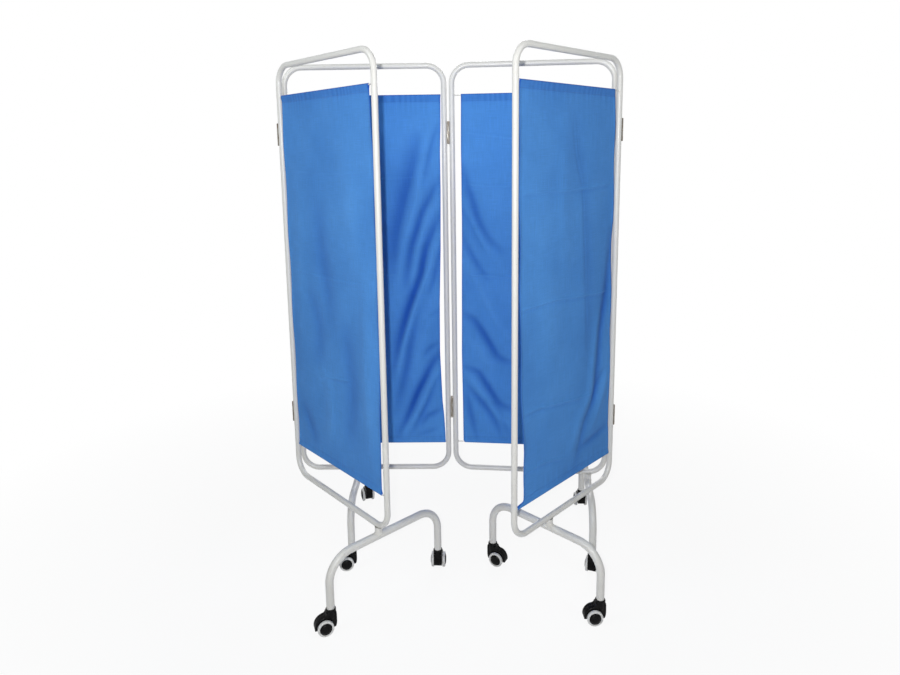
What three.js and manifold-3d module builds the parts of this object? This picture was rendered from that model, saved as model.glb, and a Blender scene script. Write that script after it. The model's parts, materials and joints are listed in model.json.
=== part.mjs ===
import * as THREE from 'three';
import { mergeVertices } from 'three/addons/utils/BufferGeometryUtils.js';
import Module from 'manifold-3d';

const wasm = await Module();
wasm.setup();

// Four-fold ward privacy screen on casters. Millimetres, +Z up, the front faces -Y.
// Each panel is drawn in its own frame: X runs along the row from its left stile,
// Y points to its back and Z is the height above the floor.

// Frame of one panel, on its tube's centre line
const frameWidth = 545;
const frameHeight = 1456;
const bottomRailHeight = 271;
const frameTubeDiameter = 19;
const frameCornerRadius = 60;

// Row of panels: stile centre to stile centre when two panels stand in one line,
// and the hinge pins' distance from the panels' middle plane
const stileSpacing = 27.8;
const pinOffset = 10.5;

// Angles between neighbouring panels as the screen stands, in degrees
const leftRestAngle = 47;
const centreRestAngle = 174.3;
const rightRestAngle = 52;

// Foot of a panel: a bent tube across the panel, and the short post above it
const footTubeDiameter = 25;
const footSpan = 434;
const footCornerRadius = 80;
const footDrop = 35;
const legEndHeight = 74;
const postDiameter = 25;

// Each foot's distance from its panel's outer stile as a share of the frame's width, so that closed
// panels' feet lie side by side, and how far each arch sits off its panel's plane, so that they also
// nearly line up front to back
const frontLeftFootShare = 0.9083;
const rearLeftFootShare = 0.3743;
const rearRightFootShare = 0.1083;
const frontRightFootShare = 0.6697;
const frontLeftFootShift = 30;
const rearFootShift = 10;
const frontRightFootShift = 23;

// Curtain and its two rods
const rodDiameter = 4;
const topRodDrop = 99;
const frontLeftBottomRodRise = 114;
const rearLeftBottomRodRise = 100;
const rearRightBottomRodRise = 102;
const frontRightBottomRodRise = 97;
const rodSeatGap = 0.3;
const clothThickness = 1.6;
const hemSlack = 0.5;

// How far each curtain's side edges stay from the stiles' centre lines: those of the sheet at its
// bottom, halfway up and at its top, and those of the ends of the bottom and the top sleeve
const frontLeftEdges = { left: [26, 13, 26], right: [14, 15, 15], leftEnds: [26, 26], rightEnds: [14, 15] };
const rearLeftEdges = { left: [14, 16, 14], right: [14, 20, 13], leftEnds: [14, 14], rightEnds: [14, 13] };
const rearRightEdges = { left: [27, 28, 31], right: [14, 15, 14], leftEnds: [27, 31], rightEnds: [14, 14] };
const frontRightEdges = { left: [14, 20, 16], right: [46, 26, 15], leftEnds: [14, 16], rightEnds: [17, 15] };

// Butt hinges
const leafHeight = 76;
const leafThickness = 2.4;
const leafReach = 20;
const knuckleDiameter = 8;
const pinDiameter = 4;
const pinHeadDiameter = 6.4;
const pinHeadHeight = 1.6;
const knuckleGap = 0.4;
const leafClearance = 0.7;
const upperHingeDrop = 224;
const lowerHingeRise = 234;

// Twin-wheel casters
const wheelDiameter = 50;
const treadWidth = 9;
const hubDiameter = 37;
const hubDome = 3.5;
const hubCrownDiameter = 24;
const trail = 20;
const hoodWidth = 28;
const hoodRadius = 32;
const hoodFloorGap = 20;
const hoodNoseReach = 12;
const collarDiameter = 32;
const collarBase = 50;
const collarHeight = 78;
const collarChamfer = 2.6;
const stemDiameter = 10;
const stemReach = 36;
const axleDiameter = 6;
const axleEngagement = 7;

// Gaps between pieces
const seatGap = 0.3;
const turningGap = 0.5;
const cutOverrun = 2;

// Facets
const tubeSides = 12;
const cornerSteps = 4;
const rodSides = 8;
const knuckleSides = 8;
const hoodSteps = 10;
const collarSides = 12;
const wheelSides = 16;
const curtainColumns = 12;
const curtainRows = 8;
const hemSides = 6;
const knuckleCount = 5;

const frameTubeRadius = frameTubeDiameter / 2;
const footTubeRadius = footTubeDiameter / 2;
const rodRadius = rodDiameter / 2;
const wheelRadius = wheelDiameter / 2;
const topRailHeight = bottomRailHeight + frameHeight;
const archHeight = bottomRailHeight - footDrop;
const topRodHeight = topRailHeight - topRodDrop;
const upperHingeHeight = topRailHeight - upperHingeDrop;
const lowerHingeHeight = bottomRailHeight + lowerHingeRise;

const xAxis = new THREE.Vector3(1, 0, 0);
const yAxis = new THREE.Vector3(0, 1, 0);
const zAxis = new THREE.Vector3(0, 0, 1);

const whitePaint = new THREE.MeshStandardMaterial({ color: 0xdcdcd8, roughness: 0.4, metalness: 0.1 });
const hingeSteel = new THREE.MeshStandardMaterial({ color: 0xbdbab4, roughness: 0.4, metalness: 0.7 });
const rodSteel = new THREE.MeshStandardMaterial({ color: 0xd2d2ce, roughness: 0.4, metalness: 0.3 });
const blueCloth = new THREE.MeshStandardMaterial({ color: 0x4682cc, roughness: 0.9, metalness: 0 });
const blackPlastic = new THREE.MeshStandardMaterial({ color: 0x141414, roughness: 0.35, metalness: 0 });
const greyTread = new THREE.MeshStandardMaterial({ color: 0x9b9b99, roughness: 0.7, metalness: 0 });

// Turns a closed geometry into a solid that can be joined and cut.
function toSolid(geometry) {
  geometry.deleteAttribute('normal');
  geometry.deleteAttribute('uv');
  const merged = mergeVertices(geometry);
  const vertProperties = merged.attributes.position.array;
  const triVerts = merged.index.array;
  return new wasm.Manifold(new wasm.Mesh({ numProp: 3, vertProperties, triVerts }));
}

function toGeometry(solid) {
  const mesh = solid.getMesh();
  const geometry = new THREE.BufferGeometry();
  geometry.setAttribute('position', new THREE.BufferAttribute(mesh.vertProperties, 3));
  geometry.setIndex(new THREE.BufferAttribute(mesh.triVerts, 1));
  geometry.computeVertexNormals();
  return geometry;
}

function joined(solids) {
  return solids.reduce((whole, solid) => whole.add(solid));
}

function meshOf(name, geometry, material) {
  const mesh = new THREE.Mesh(geometry, material);
  mesh.name = name;
  return mesh;
}

function geometryOf(points, triangles) {
  const geometry = new THREE.BufferGeometry();
  geometry.setFromPoints(points);
  geometry.setIndex(triangles);
  return geometry;
}

// A round bar through stations that lie in one plane. Each station is a place and a heading,
// and across is the plane's normal. A closed bar joins its last ring to its first.
function sweptBar(stations, across, radius, closed) {
  const points = [];
  const triangles = [];
  for (const { place, heading } of stations) {
    const beside = new THREE.Vector3().crossVectors(heading, across);
    for (let k = 0; k < tubeSides; k++) {
      const turn = (2 * Math.PI * k) / tubeSides;
      const point = place.clone();
      point.addScaledVector(across, radius * Math.cos(turn));
      point.addScaledVector(beside, radius * Math.sin(turn));
      points.push(point);
    }
  }
  const spans = closed ? stations.length : stations.length - 1;
  for (let i = 0; i < spans; i++) {
    const ring = i * tubeSides;
    const nextRing = ((i + 1) % stations.length) * tubeSides;
    for (let k = 0; k < tubeSides; k++) {
      const l = (k + 1) % tubeSides;
      triangles.push(ring + k, ring + l, nextRing + l);
      triangles.push(ring + k, nextRing + l, nextRing + k);
    }
  }
  if (!closed) {
    const lastRing = (stations.length - 1) * tubeSides;
    for (let k = 1; k < tubeSides - 1; k++) {
      triangles.push(0, k + 1, k);
      triangles.push(lastRing, lastRing + k, lastRing + k + 1);
    }
  }
  return geometryOf(points, triangles);
}

// Stations round a quarter bend in the plane of right and up, from the turn start to start + 90 degrees.
function bend(centre, radius, start, right, up) {
  const stations = [];
  for (let i = 0; i <= cornerSteps; i++) {
    const turn = start + (Math.PI / 2) * (i / cornerSteps);
    const place = centre.clone();
    place.addScaledVector(right, radius * Math.cos(turn));
    place.addScaledVector(up, radius * Math.sin(turn));
    const heading = new THREE.Vector3();
    heading.addScaledVector(right, -Math.sin(turn));
    heading.addScaledVector(up, Math.cos(turn));
    stations.push({ place, heading });
  }
  return stations;
}

// Closed loop of the panel's frame, at a given tube radius.
function frameLoop(radius) {
  const left = frameCornerRadius;
  const right = frameWidth - frameCornerRadius;
  const low = bottomRailHeight + frameCornerRadius;
  const high = topRailHeight - frameCornerRadius;
  const stations = [
    ...bend(new THREE.Vector3(right, 0, low), frameCornerRadius, -Math.PI / 2, xAxis, zAxis),
    ...bend(new THREE.Vector3(right, 0, high), frameCornerRadius, 0, xAxis, zAxis),
    ...bend(new THREE.Vector3(left, 0, high), frameCornerRadius, Math.PI / 2, xAxis, zAxis),
    ...bend(new THREE.Vector3(left, 0, low), frameCornerRadius, Math.PI, xAxis, zAxis),
  ];
  return toSolid(sweptBar(stations, yAxis, radius, true));
}

function cylinderAlong(axis, radius, length, sides) {
  const geometry = new THREE.CylinderGeometry(radius, radius, length, sides);
  geometry.applyQuaternion(new THREE.Quaternion().setFromUnitVectors(yAxis, axis));
  return toSolid(geometry);
}

// Blind holes on the inner sides of both stiles, which hold the rod's ends.
function rodHoles(height) {
  const depth = frameTubeRadius + cutOverrun;
  const radius = rodRadius + rodSeatGap;
  const left = cylinderAlong(xAxis, radius, depth, rodSides).translate([depth / 2, 0, height]);
  const right = cylinderAlong(xAxis, radius, depth, rodSides).translate([frameWidth - depth / 2, 0, height]);
  return left.add(right);
}

function frameGeometry(bottomRodHeight) {
  const loop = frameLoop(frameTubeRadius);
  return toGeometry(loop.subtract(rodHoles(topRodHeight)).subtract(rodHoles(bottomRodHeight)));
}

function rodGeometry() {
  const length = frameWidth - 2 * rodSeatGap;
  const geometry = new THREE.CylinderGeometry(rodRadius, rodRadius, length, rodSides);
  geometry.rotateZ(Math.PI / 2);
  geometry.translate(frameWidth / 2, 0, 0);
  return geometry;
}

// Stations of the foot arch in the plane across the panel, up the back leg and down the front one.
function archStations(footX, shift) {
  const front = shift - footSpan / 2;
  const back = shift + footSpan / 2;
  const top = archHeight - footCornerRadius;
  const frontCentre = new THREE.Vector3(footX, front + footCornerRadius, top);
  const backCentre = new THREE.Vector3(footX, back - footCornerRadius, top);
  return [
    { place: new THREE.Vector3(footX, back, legEndHeight), heading: zAxis },
    ...bend(backCentre, footCornerRadius, 0, yAxis, zAxis),
    ...bend(frontCentre, footCornerRadius, Math.PI / 2, yAxis, zAxis),
    { place: new THREE.Vector3(footX, front, legEndHeight), heading: zAxis.clone().negate() },
  ];
}

function archSolid(footX, shift, radius) {
  return toSolid(sweptBar(archStations(footX, shift), xAxis, radius, false));
}

function archGeometry(footX, shift) {
  const holeDepth = stemReach + turningGap;
  const holeRadius = stemDiameter / 2 + turningGap;
  const hole = cylinderAlong(zAxis, holeRadius, holeDepth + cutOverrun, rodSides);
  const holeMiddle = legEndHeight + (holeDepth - cutOverrun) / 2;
  const front = hole.translate([footX, shift - footSpan / 2, holeMiddle]);
  const back = hole.translate([footX, shift + footSpan / 2, holeMiddle]);
  return toGeometry(archSolid(footX, shift, footTubeRadius).subtract(front).subtract(back));
}

// Short post between the bottom rail and the arch, its ends shaped to both tubes.
function postGeometry(footX, shift) {
  const top = bottomRailHeight - frameTubeRadius / 2;
  const length = top - archHeight;
  const post = cylinderAlong(zAxis, postDiameter / 2, length, tubeSides);
  const standing = post.translate([footX, 0, archHeight + length / 2]);
  const rail = frameLoop(frameTubeRadius + seatGap);
  const arch = archSolid(footX, shift, footTubeRadius + seatGap);
  const pieces = standing.subtract(rail).subtract(arch).decompose();
  return toGeometry(pieces.reduce((most, piece) => (piece.volume() > most.volume() ? piece : most)));
}

// How far a curtain's cloth stands off its middle plane, from the sum of its folds.
// Each fold is a ridge that may lean, and all of them fade out at the rods.
function clothOffset(folds, xShare, zShare) {
  const fade = Math.sqrt(Math.sin(Math.PI * zShare));
  let offset = 0;
  for (const fold of folds) {
    const along = xShare - fold.xShare - fold.leanShare * (zShare - fold.zShare);
    const up = (zShare - fold.zShare) / fold.lengthShare;
    offset += fold.depth * Math.exp(-((along / fold.widthShare) ** 2) - up ** 2);
  }
  return offset * fade;
}

// An edge's place at a share of the height, on one curve through its bottom, middle and top places.
function edgeAt([bottom, middle, top], zShare) {
  const halfShare = 0.5;
  const low = 2 * (halfShare - zShare) * (1 - zShare);
  const mid = 4 * zShare * (1 - zShare);
  const high = 2 * zShare * (zShare - halfShare);
  return bottom * low + middle * mid + top * high;
}

// Closed thin sheet between the rods: a front and a back grid and the strip that joins their edges.
function clothSolid(folds, edges, bottomRodHeight) {
  const low = bottomRodHeight + rodRadius;
  const high = topRodHeight - rodRadius;
  const points = [];
  const triangles = [];
  for (const side of [-1, 1]) {
    for (let i = 0; i <= curtainColumns; i++) {
      for (let j = 0; j <= curtainRows; j++) {
        const xShare = i / curtainColumns;
        const zShare = j / curtainRows;
        const left = edgeAt(edges.left, zShare);
        const right = frameWidth - edgeAt(edges.right, zShare);
        const x = left + (right - left) * xShare;
        const y = clothOffset(folds, xShare, zShare) + (side * clothThickness) / 2;
        points.push(new THREE.Vector3(x, y, low + (high - low) * zShare));
      }
    }
  }
  const rowCount = curtainRows + 1;
  const sideCount = (curtainColumns + 1) * rowCount;
  const at = (i, j) => i * rowCount + j;
  for (let i = 0; i < curtainColumns; i++) {
    for (let j = 0; j < curtainRows; j++) {
      const corners = [at(i, j), at(i + 1, j), at(i + 1, j + 1), at(i, j + 1)];
      const [a, b, c, d] = corners;
      triangles.push(a, b, c, a, c, d);
      const [e, f, g, h] = corners.map((corner) => corner + sideCount);
      triangles.push(e, g, f, e, h, g);
    }
  }
  const rim = [];
  for (let i = 0; i < curtainColumns; i++) rim.push([at(i, 0), at(i + 1, 0)]);
  for (let j = 0; j < curtainRows; j++) rim.push([at(curtainColumns, j), at(curtainColumns, j + 1)]);
  for (let i = curtainColumns; i > 0; i--) rim.push([at(i, curtainRows), at(i - 1, curtainRows)]);
  for (let j = curtainRows; j > 0; j--) rim.push([at(0, j), at(0, j - 1)]);
  for (const [from, to] of rim) {
    triangles.push(from, from + sideCount, to + sideCount);
    triangles.push(from, to + sideCount, to);
  }
  return toSolid(geometryOf(points, triangles));
}

// Bars at the bottom and the top rod, as long as the curtain's sleeves and a stated length more.
function sleeveBars(edges, bottomRodHeight, radius, extra) {
  return [bottomRodHeight, topRodHeight].map((height, i) => {
    const left = edges.leftEnds[i] - extra;
    const right = frameWidth - edges.rightEnds[i] + extra;
    return cylinderAlong(xAxis, radius, right - left, hemSides).translate([(left + right) / 2, 0, height]);
  });
}

// Curtain: the hanging sheet with a sewn sleeve round each rod.
function curtainGeometry(folds, edges, bottomRodHeight) {
  const innerRadius = (rodRadius + hemSlack) / Math.cos(Math.PI / hemSides);
  const outerRadius = innerRadius + clothThickness;
  const sleeves = sleeveBars(edges, bottomRodHeight, outerRadius, 0);
  const bores = sleeveBars(edges, bottomRodHeight, innerRadius, cutOverrun);
  const cloth = joined([clothSolid(folds, edges, bottomRodHeight), ...sleeves]);
  return toGeometry(cloth.subtract(joined(bores)));
}

// One hinge leaf with its knuckles, on a pin that runs up the Z axis through the origin.
// The plate lies towards +X, against its own stile, and reaches towards +Y.
function leafGeometry(ownKnuckles, withPin) {
  const plateFace = stileSpacing / 2 - frameTubeRadius - seatGap;
  const plateNear = knuckleDiameter / 2 + leafClearance;
  const pitch = leafHeight / knuckleCount;
  const outline = new THREE.Shape();
  outline.moveTo(plateNear, -leafHeight / 2);
  outline.lineTo(leafReach, -leafHeight / 2);
  outline.lineTo(leafReach, leafHeight / 2);
  outline.lineTo(plateNear, leafHeight / 2);
  outline.closePath();
  const plates = [plateOf(outline, plateFace)];
  for (const place of ownKnuckles) {
    const low = -leafHeight / 2 + place * pitch + (place > 0 ? knuckleGap / 2 : 0);
    const high = -leafHeight / 2 + (place + 1) * pitch - (place < knuckleCount - 1 ? knuckleGap / 2 : 0);
    const tab = new THREE.Shape();
    tab.moveTo(0, low);
    tab.lineTo(leafReach / 2, low);
    tab.lineTo(leafReach / 2, high);
    tab.lineTo(0, high);
    tab.closePath();
    plates.push(plateOf(tab, plateFace));
    const barrel = cylinderAlong(zAxis, knuckleDiameter / 2, high - low, knuckleSides);
    plates.push(barrel.translate([0, 0, (low + high) / 2]));
  }
  let leaf = joined(plates);
  if (withPin) {
    const pinLength = leafHeight + 2 * pinHeadHeight;
    leaf = leaf.add(cylinderAlong(zAxis, pinDiameter / 2, leafHeight, knuckleSides));
    const head = cylinderAlong(zAxis, pinHeadDiameter / 2, pinHeadHeight * 2, knuckleSides);
    leaf = leaf.add(head.translate([0, 0, pinLength / 2 - pinHeadHeight]));
    leaf = leaf.add(head.translate([0, 0, pinHeadHeight - pinLength / 2]));
  } else {
    leaf = leaf.subtract(cylinderAlong(zAxis, pinDiameter / 2 + seatGap, leafHeight, knuckleSides));
  }
  return toGeometry(leaf);
}

// A plate cut to an outline drawn in Y and Z, its outer face at the given X.
function plateOf(outline, face) {
  const geometry = new THREE.ExtrudeGeometry(outline, { depth: leafThickness, bevelEnabled: false });
  geometry.applyMatrix4(new THREE.Matrix4().makeBasis(yAxis, zAxis, xAxis));
  geometry.translate(face - leafThickness, 0, 0);
  return toSolid(geometry);
}

// Caster housing in its own frame: stem up the Z axis, wheels trailing towards +X.
function housingGeometry() {
  return toGeometry(joined([hoodSolid(), collarSolid(), axleSolid()]));
}

function hoodSolid() {
  const bottom = Math.asin((wheelRadius - hoodFloorGap) / hoodRadius);
  const shoulder = Math.PI - Math.asin((collarBase + collarChamfer - wheelRadius) / hoodRadius);
  const outline = new THREE.Shape();
  outline.moveTo(trail + hoodRadius * Math.cos(bottom), hoodFloorGap);
  for (let i = 1; i <= hoodSteps; i++) {
    const turn = -bottom + (shoulder + bottom) * (i / hoodSteps);
    outline.lineTo(trail + hoodRadius * Math.cos(turn), wheelRadius + hoodRadius * Math.sin(turn));
  }
  outline.lineTo(-collarDiameter / 2 + collarChamfer, collarBase + collarChamfer);
  outline.lineTo(-hoodNoseReach, hoodFloorGap);
  outline.closePath();
  const geometry = new THREE.ExtrudeGeometry(outline, { depth: hoodWidth, bevelEnabled: false });
  geometry.rotateX(Math.PI / 2);
  geometry.translate(0, hoodWidth / 2, 0);
  return toSolid(geometry);
}

// Collar and stem in one turned shape: the collar's recess takes the leg's end.
function collarSolid() {
  const collarRadius = collarDiameter / 2;
  const stemRadius = stemDiameter / 2;
  const recessRadius = footTubeRadius + turningGap;
  const recessFloor = legEndHeight - seatGap;
  const stemTop = legEndHeight + stemReach;
  const profile = [
    new THREE.Vector2(0, collarBase),
    new THREE.Vector2(collarRadius, collarBase),
    new THREE.Vector2(collarRadius, collarHeight - collarChamfer),
    new THREE.Vector2(collarRadius - collarChamfer, collarHeight),
    new THREE.Vector2(recessRadius, collarHeight),
    new THREE.Vector2(recessRadius, recessFloor),
    new THREE.Vector2(stemRadius, recessFloor),
    new THREE.Vector2(stemRadius, stemTop),
    new THREE.Vector2(0, stemTop),
  ];
  const geometry = new THREE.LatheGeometry(profile, collarSides);
  geometry.rotateX(Math.PI / 2);
  return toSolid(geometry);
}

function axleSolid() {
  const length = hoodWidth + 2 * (turningGap + axleEngagement);
  return cylinderAlong(yAxis, axleDiameter / 2, length, rodSides).translate([trail, 0, wheelRadius]);
}

// Wheel about the Y axis: inner face at zero, domed hub at the far side, a flat of its tread down.
function wheelGeometry() {
  const outer = wheelRadius / Math.cos(Math.PI / wheelSides);
  const boreRadius = axleDiameter / 2 + seatGap;
  const boreDepth = axleEngagement + seatGap;
  const profile = [
    new THREE.Vector2(0, boreDepth),
    new THREE.Vector2(boreRadius, boreDepth),
    new THREE.Vector2(boreRadius, 0),
    new THREE.Vector2(outer, 0),
    new THREE.Vector2(outer, treadWidth),
    new THREE.Vector2(hubDiameter / 2, treadWidth),
    new THREE.Vector2(hubCrownDiameter / 2, treadWidth + hubDome),
    new THREE.Vector2(0, treadWidth + hubDome),
  ];
  const halfStep = Math.PI / wheelSides;
  return mergeVertices(bareLathe(profile, wheelSides, halfStep));
}

function bareLathe(profile, sides, start) {
  const geometry = new THREE.LatheGeometry(profile, sides, start, 2 * Math.PI);
  geometry.deleteAttribute('normal');
  geometry.deleteAttribute('uv');
  return geometry;
}

const sharedHousing = housingGeometry();
const sharedWheel = wheelGeometry();
const sharedRod = rodGeometry();
const pinLeaf = leafGeometry([0, 2, 4], true);
const plainLeaf = leafGeometry([1, 3], false);

// A caster under one leg, turned so that its wheels trail along the given heading in degrees.
function casterGroup(name, heading) {
  const caster = new THREE.Group();
  caster.rotation.z = THREE.MathUtils.degToRad(heading);
  caster.add(meshOf(`${name}_housing`, sharedHousing, blackPlastic));
  const wheelOffset = hoodWidth / 2 + turningGap;
  const left = meshOf(`${name}_left_wheel`, sharedWheel, greyTread);
  left.position.set(trail, wheelOffset, wheelRadius);
  const right = meshOf(`${name}_right_wheel`, sharedWheel, greyTread);
  right.position.set(trail, -wheelOffset, wheelRadius);
  right.rotation.z = Math.PI;
  caster.add(left, right);
  return caster;
}

function rodMesh(name, height) {
  const rod = meshOf(name, sharedRod, rodSteel);
  rod.position.z = height;
  return rod;
}

// A whole panel: frame, rods, curtain, foot and its two casters.
function panelGroup({ name, bottomRodRise, edges, folds, footX, footShift, frontHeading, backHeading }) {
  const panel = new THREE.Group();
  const bottomRodHeight = bottomRailHeight + bottomRodRise;
  panel.add(meshOf(`${name}_frame`, frameGeometry(bottomRodHeight), whitePaint));
  panel.add(rodMesh(`${name}_top_rod`, topRodHeight));
  panel.add(rodMesh(`${name}_bottom_rod`, bottomRodHeight));
  panel.add(meshOf(`${name}_curtain`, curtainGeometry(folds, edges, bottomRodHeight), blueCloth));
  panel.add(meshOf(`${name}_foot_arch`, archGeometry(footX, footShift), whitePaint));
  panel.add(meshOf(`${name}_foot_post`, postGeometry(footX, footShift), whitePaint));
  const front = casterGroup(`${name}_front_caster`, frontHeading);
  front.position.set(footX, footShift - footSpan / 2, 0);
  const back = casterGroup(`${name}_back_caster`, backHeading);
  back.position.set(footX, footShift + footSpan / 2, 0);
  panel.add(front, back);
  return panel;
}

// Upper and lower leaf of one panel at a fold line, placed in that panel's frame.
// toRight says that the fold line is at the panel's right stile, inFront that its pins are in front.
function addLeaves(panel, fold, geometry, kind, toRight, inFront) {
  for (const [level, height] of [['upper', upperHingeHeight], ['lower', lowerHingeHeight]]) {
    const leaf = meshOf(`${fold}_${level}_${kind}_leaf`, geometry, hingeSteel);
    const pinX = toRight ? frameWidth + stileSpacing / 2 : -stileSpacing / 2;
    leaf.position.set(pinX, inFront ? -pinOffset : pinOffset, height);
    if (toRight && inFront) leaf.rotation.y = Math.PI;
    if (toRight && !inFront) leaf.rotation.z = Math.PI;
    if (!toRight && !inFront) leaf.rotation.x = Math.PI;
    panel.add(leaf);
  }
}

// Hangs a panel on its neighbour: the fold group stands on the pin line and turns by the fold angle.
function foldOn(neighbour, panel, toRight, inFront, turn) {
  const side = inFront ? -pinOffset : pinOffset;
  const fold = new THREE.Group();
  fold.position.set(toRight ? frameWidth + stileSpacing / 2 : -stileSpacing / 2, side, 0);
  fold.rotation.z = THREE.MathUtils.degToRad(turn);
  panel.position.set(toRight ? stileSpacing / 2 : -frameWidth - stileSpacing / 2, -side, 0);
  fold.add(panel);
  neighbour.add(fold);
}

// Folds of each curtain: place and size as shares of its width and height, depth in millimetres
const ripple = 5;
const shallowRipple = 3;
const frontLeftFolds = [
  { xShare: 0.22, zShare: 0.6, leanShare: 0.05, widthShare: 0.1, lengthShare: 0.6, depth: shallowRipple },
  { xShare: 0.5, zShare: 0.5, leanShare: -0.05, widthShare: 0.12, lengthShare: 0.7, depth: -shallowRipple },
  { xShare: 0.78, zShare: 0.45, leanShare: 0.08, widthShare: 0.1, lengthShare: 0.6, depth: shallowRipple },
];
const rearLeftFolds = [
  { xShare: 0.3, zShare: 0.35, leanShare: 0.6, widthShare: 0.09, lengthShare: 0.3, depth: ripple },
  { xShare: 0.55, zShare: 0.4, leanShare: 0.7, widthShare: 0.08, lengthShare: 0.3, depth: -ripple },
  { xShare: 0.8, zShare: 0.55, leanShare: 0.5, widthShare: 0.09, lengthShare: 0.35, depth: ripple },
];
const rearRightFolds = [
  { xShare: 0.2, zShare: 0.5, leanShare: 0.1, widthShare: 0.1, lengthShare: 0.6, depth: ripple },
  { xShare: 0.48, zShare: 0.6, leanShare: -0.1, widthShare: 0.1, lengthShare: 0.6, depth: -ripple },
  { xShare: 0.75, zShare: 0.4, leanShare: 0.1, widthShare: 0.12, lengthShare: 0.6, depth: ripple },
];
const frontRightFolds = [
  { xShare: 0.25, zShare: 0.5, leanShare: 0.05, widthShare: 0.12, lengthShare: 0.7, depth: ripple },
  { xShare: 0.6, zShare: 0.5, leanShare: 0.05, widthShare: 0.1, lengthShare: 0.6, depth: -shallowRipple },
  { xShare: 0.85, zShare: 0.55, leanShare: -0.05, widthShare: 0.08, lengthShare: 0.6, depth: shallowRipple },
];

const panel1 = panelGroup({
  name: 'panel1',
  bottomRodRise: frontLeftBottomRodRise,
  edges: frontLeftEdges,
  footX: frameWidth * (1 - frontLeftFootShare),
  footShift: -frontLeftFootShift,
  frontHeading: -46,
  backHeading: 69,
  folds: frontLeftFolds,
});
const panel2 = panelGroup({
  name: 'panel2',
  bottomRodRise: rearLeftBottomRodRise,
  edges: rearLeftEdges,
  footX: frameWidth * rearLeftFootShare,
  footShift: rearFootShift,
  frontHeading: 192,
  backHeading: 110,
  folds: rearLeftFolds,
});
const panel3 = panelGroup({
  name: 'panel3',
  bottomRodRise: rearRightBottomRodRise,
  edges: rearRightEdges,
  footX: frameWidth * (1 - rearRightFootShare),
  footShift: rearFootShift,
  frontHeading: 76,
  backHeading: 96,
  folds: rearRightFolds,
});
const panel4 = panelGroup({
  name: 'panel4',
  bottomRodRise: frontRightBottomRodRise,
  edges: frontRightEdges,
  footX: frameWidth * frontRightFootShare,
  footShift: -frontRightFootShift,
  frontHeading: 105,
  backHeading: -42,
  folds: frontRightFolds,
});

addLeaves(panel2, 'left_hinge', pinLeaf, 'pin', false, true);
addLeaves(panel1, 'left_hinge', plainLeaf, 'plain', true, true);
addLeaves(panel2, 'centre_hinge', pinLeaf, 'pin', true, false);
addLeaves(panel3, 'centre_hinge', plainLeaf, 'plain', false, false);
addLeaves(panel3, 'right_hinge', pinLeaf, 'pin', true, true);
addLeaves(panel4, 'right_hinge', plainLeaf, 'plain', false, true);

foldOn(panel2, panel1, false, true, 180 - leftRestAngle);
foldOn(panel2, panel3, true, false, centreRestAngle - 180);
foldOn(panel3, panel4, true, true, rightRestAngle - 180);

// The rear pair faces the front evenly, and the origin is the middle of the whole screen's base.
panel2.rotation.z = THREE.MathUtils.degToRad((180 - centreRestAngle) / 2);
const screen = new THREE.Group();
screen.add(panel2);
screen.updateMatrixWorld(true);
const box = new THREE.Box3().setFromObject(screen, true);
const middle = box.getCenter(new THREE.Vector3());
panel2.position.set(-middle.x, -middle.y, -box.min.z);
screen.updateMatrixWorld(true);

export default screen;
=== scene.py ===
import json
import math

import bmesh
import bpy
import numpy as np
from mathutils import Matrix, Vector, noise


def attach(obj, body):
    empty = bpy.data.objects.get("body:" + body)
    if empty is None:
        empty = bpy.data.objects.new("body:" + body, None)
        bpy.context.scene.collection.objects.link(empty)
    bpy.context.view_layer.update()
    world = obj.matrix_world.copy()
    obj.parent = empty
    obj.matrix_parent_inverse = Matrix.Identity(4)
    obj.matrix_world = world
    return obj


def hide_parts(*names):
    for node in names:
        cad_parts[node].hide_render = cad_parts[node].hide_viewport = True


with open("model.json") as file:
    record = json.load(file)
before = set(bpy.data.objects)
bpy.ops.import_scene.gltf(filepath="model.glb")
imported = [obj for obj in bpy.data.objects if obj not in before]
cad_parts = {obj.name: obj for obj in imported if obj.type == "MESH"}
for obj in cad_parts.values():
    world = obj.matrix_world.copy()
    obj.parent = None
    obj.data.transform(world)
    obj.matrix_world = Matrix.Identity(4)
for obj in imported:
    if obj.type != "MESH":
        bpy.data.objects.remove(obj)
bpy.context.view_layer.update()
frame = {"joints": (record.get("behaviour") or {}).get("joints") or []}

# Four-fold ward privacy screen. Sizes are in millimetres, as in the CAD source, and every mesh is
# drawn in the frame of its panel, hinge or caster and brought to metres when it is placed. The
# camera, the lamps and the materials' own places and depths are in metres.
MM = 0.001
TO_METRES = Matrix.Scale(MM, 4)
X, Y, Z = Vector((1, 0, 0)), Vector((0, 1, 0)), Vector((0, 0, 1))

# Frame of one panel, on its tube's centre line
FRAME_WIDTH, FRAME_HEIGHT, BOTTOM_RAIL = 545, 1456, 271
FRAME_RADIUS, FRAME_CORNER = 9.5, 60
TOP_RAIL = BOTTOM_RAIL + FRAME_HEIGHT

# Row of panels: stile centre to stile centre, the pins' distance from the panels' middle plane, and
# the angles between neighbours as the screen stands
STILE_SPACING, PIN_OFFSET = 27.8, 10.5
FAR_PIN = FRAME_WIDTH + STILE_SPACING / 2
NEAR_PIN = -STILE_SPACING / 2
LEFT_ANGLE, CENTRE_ANGLE, RIGHT_ANGLE, STRAIGHT = 47, 174.3, 52, 180
REAR_TURN = (STRAIGHT - CENTRE_ANGLE) / 2

# Foot of a panel
FOOT_DROP, ARCH_RADIUS, ARCH_CORNER, FOOT_SPAN, LEG_END = 35, 12.5, 80, 434, 74
ARCH_HEIGHT = BOTTOM_RAIL - FOOT_DROP

# Rods and the sleeves round them
ROD_RADIUS, SLEEVE_RADIUS, TOP_ROD_DROP = 2, 3.9, 99
TOP_ROD = TOP_RAIL - TOP_ROD_DROP

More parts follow.
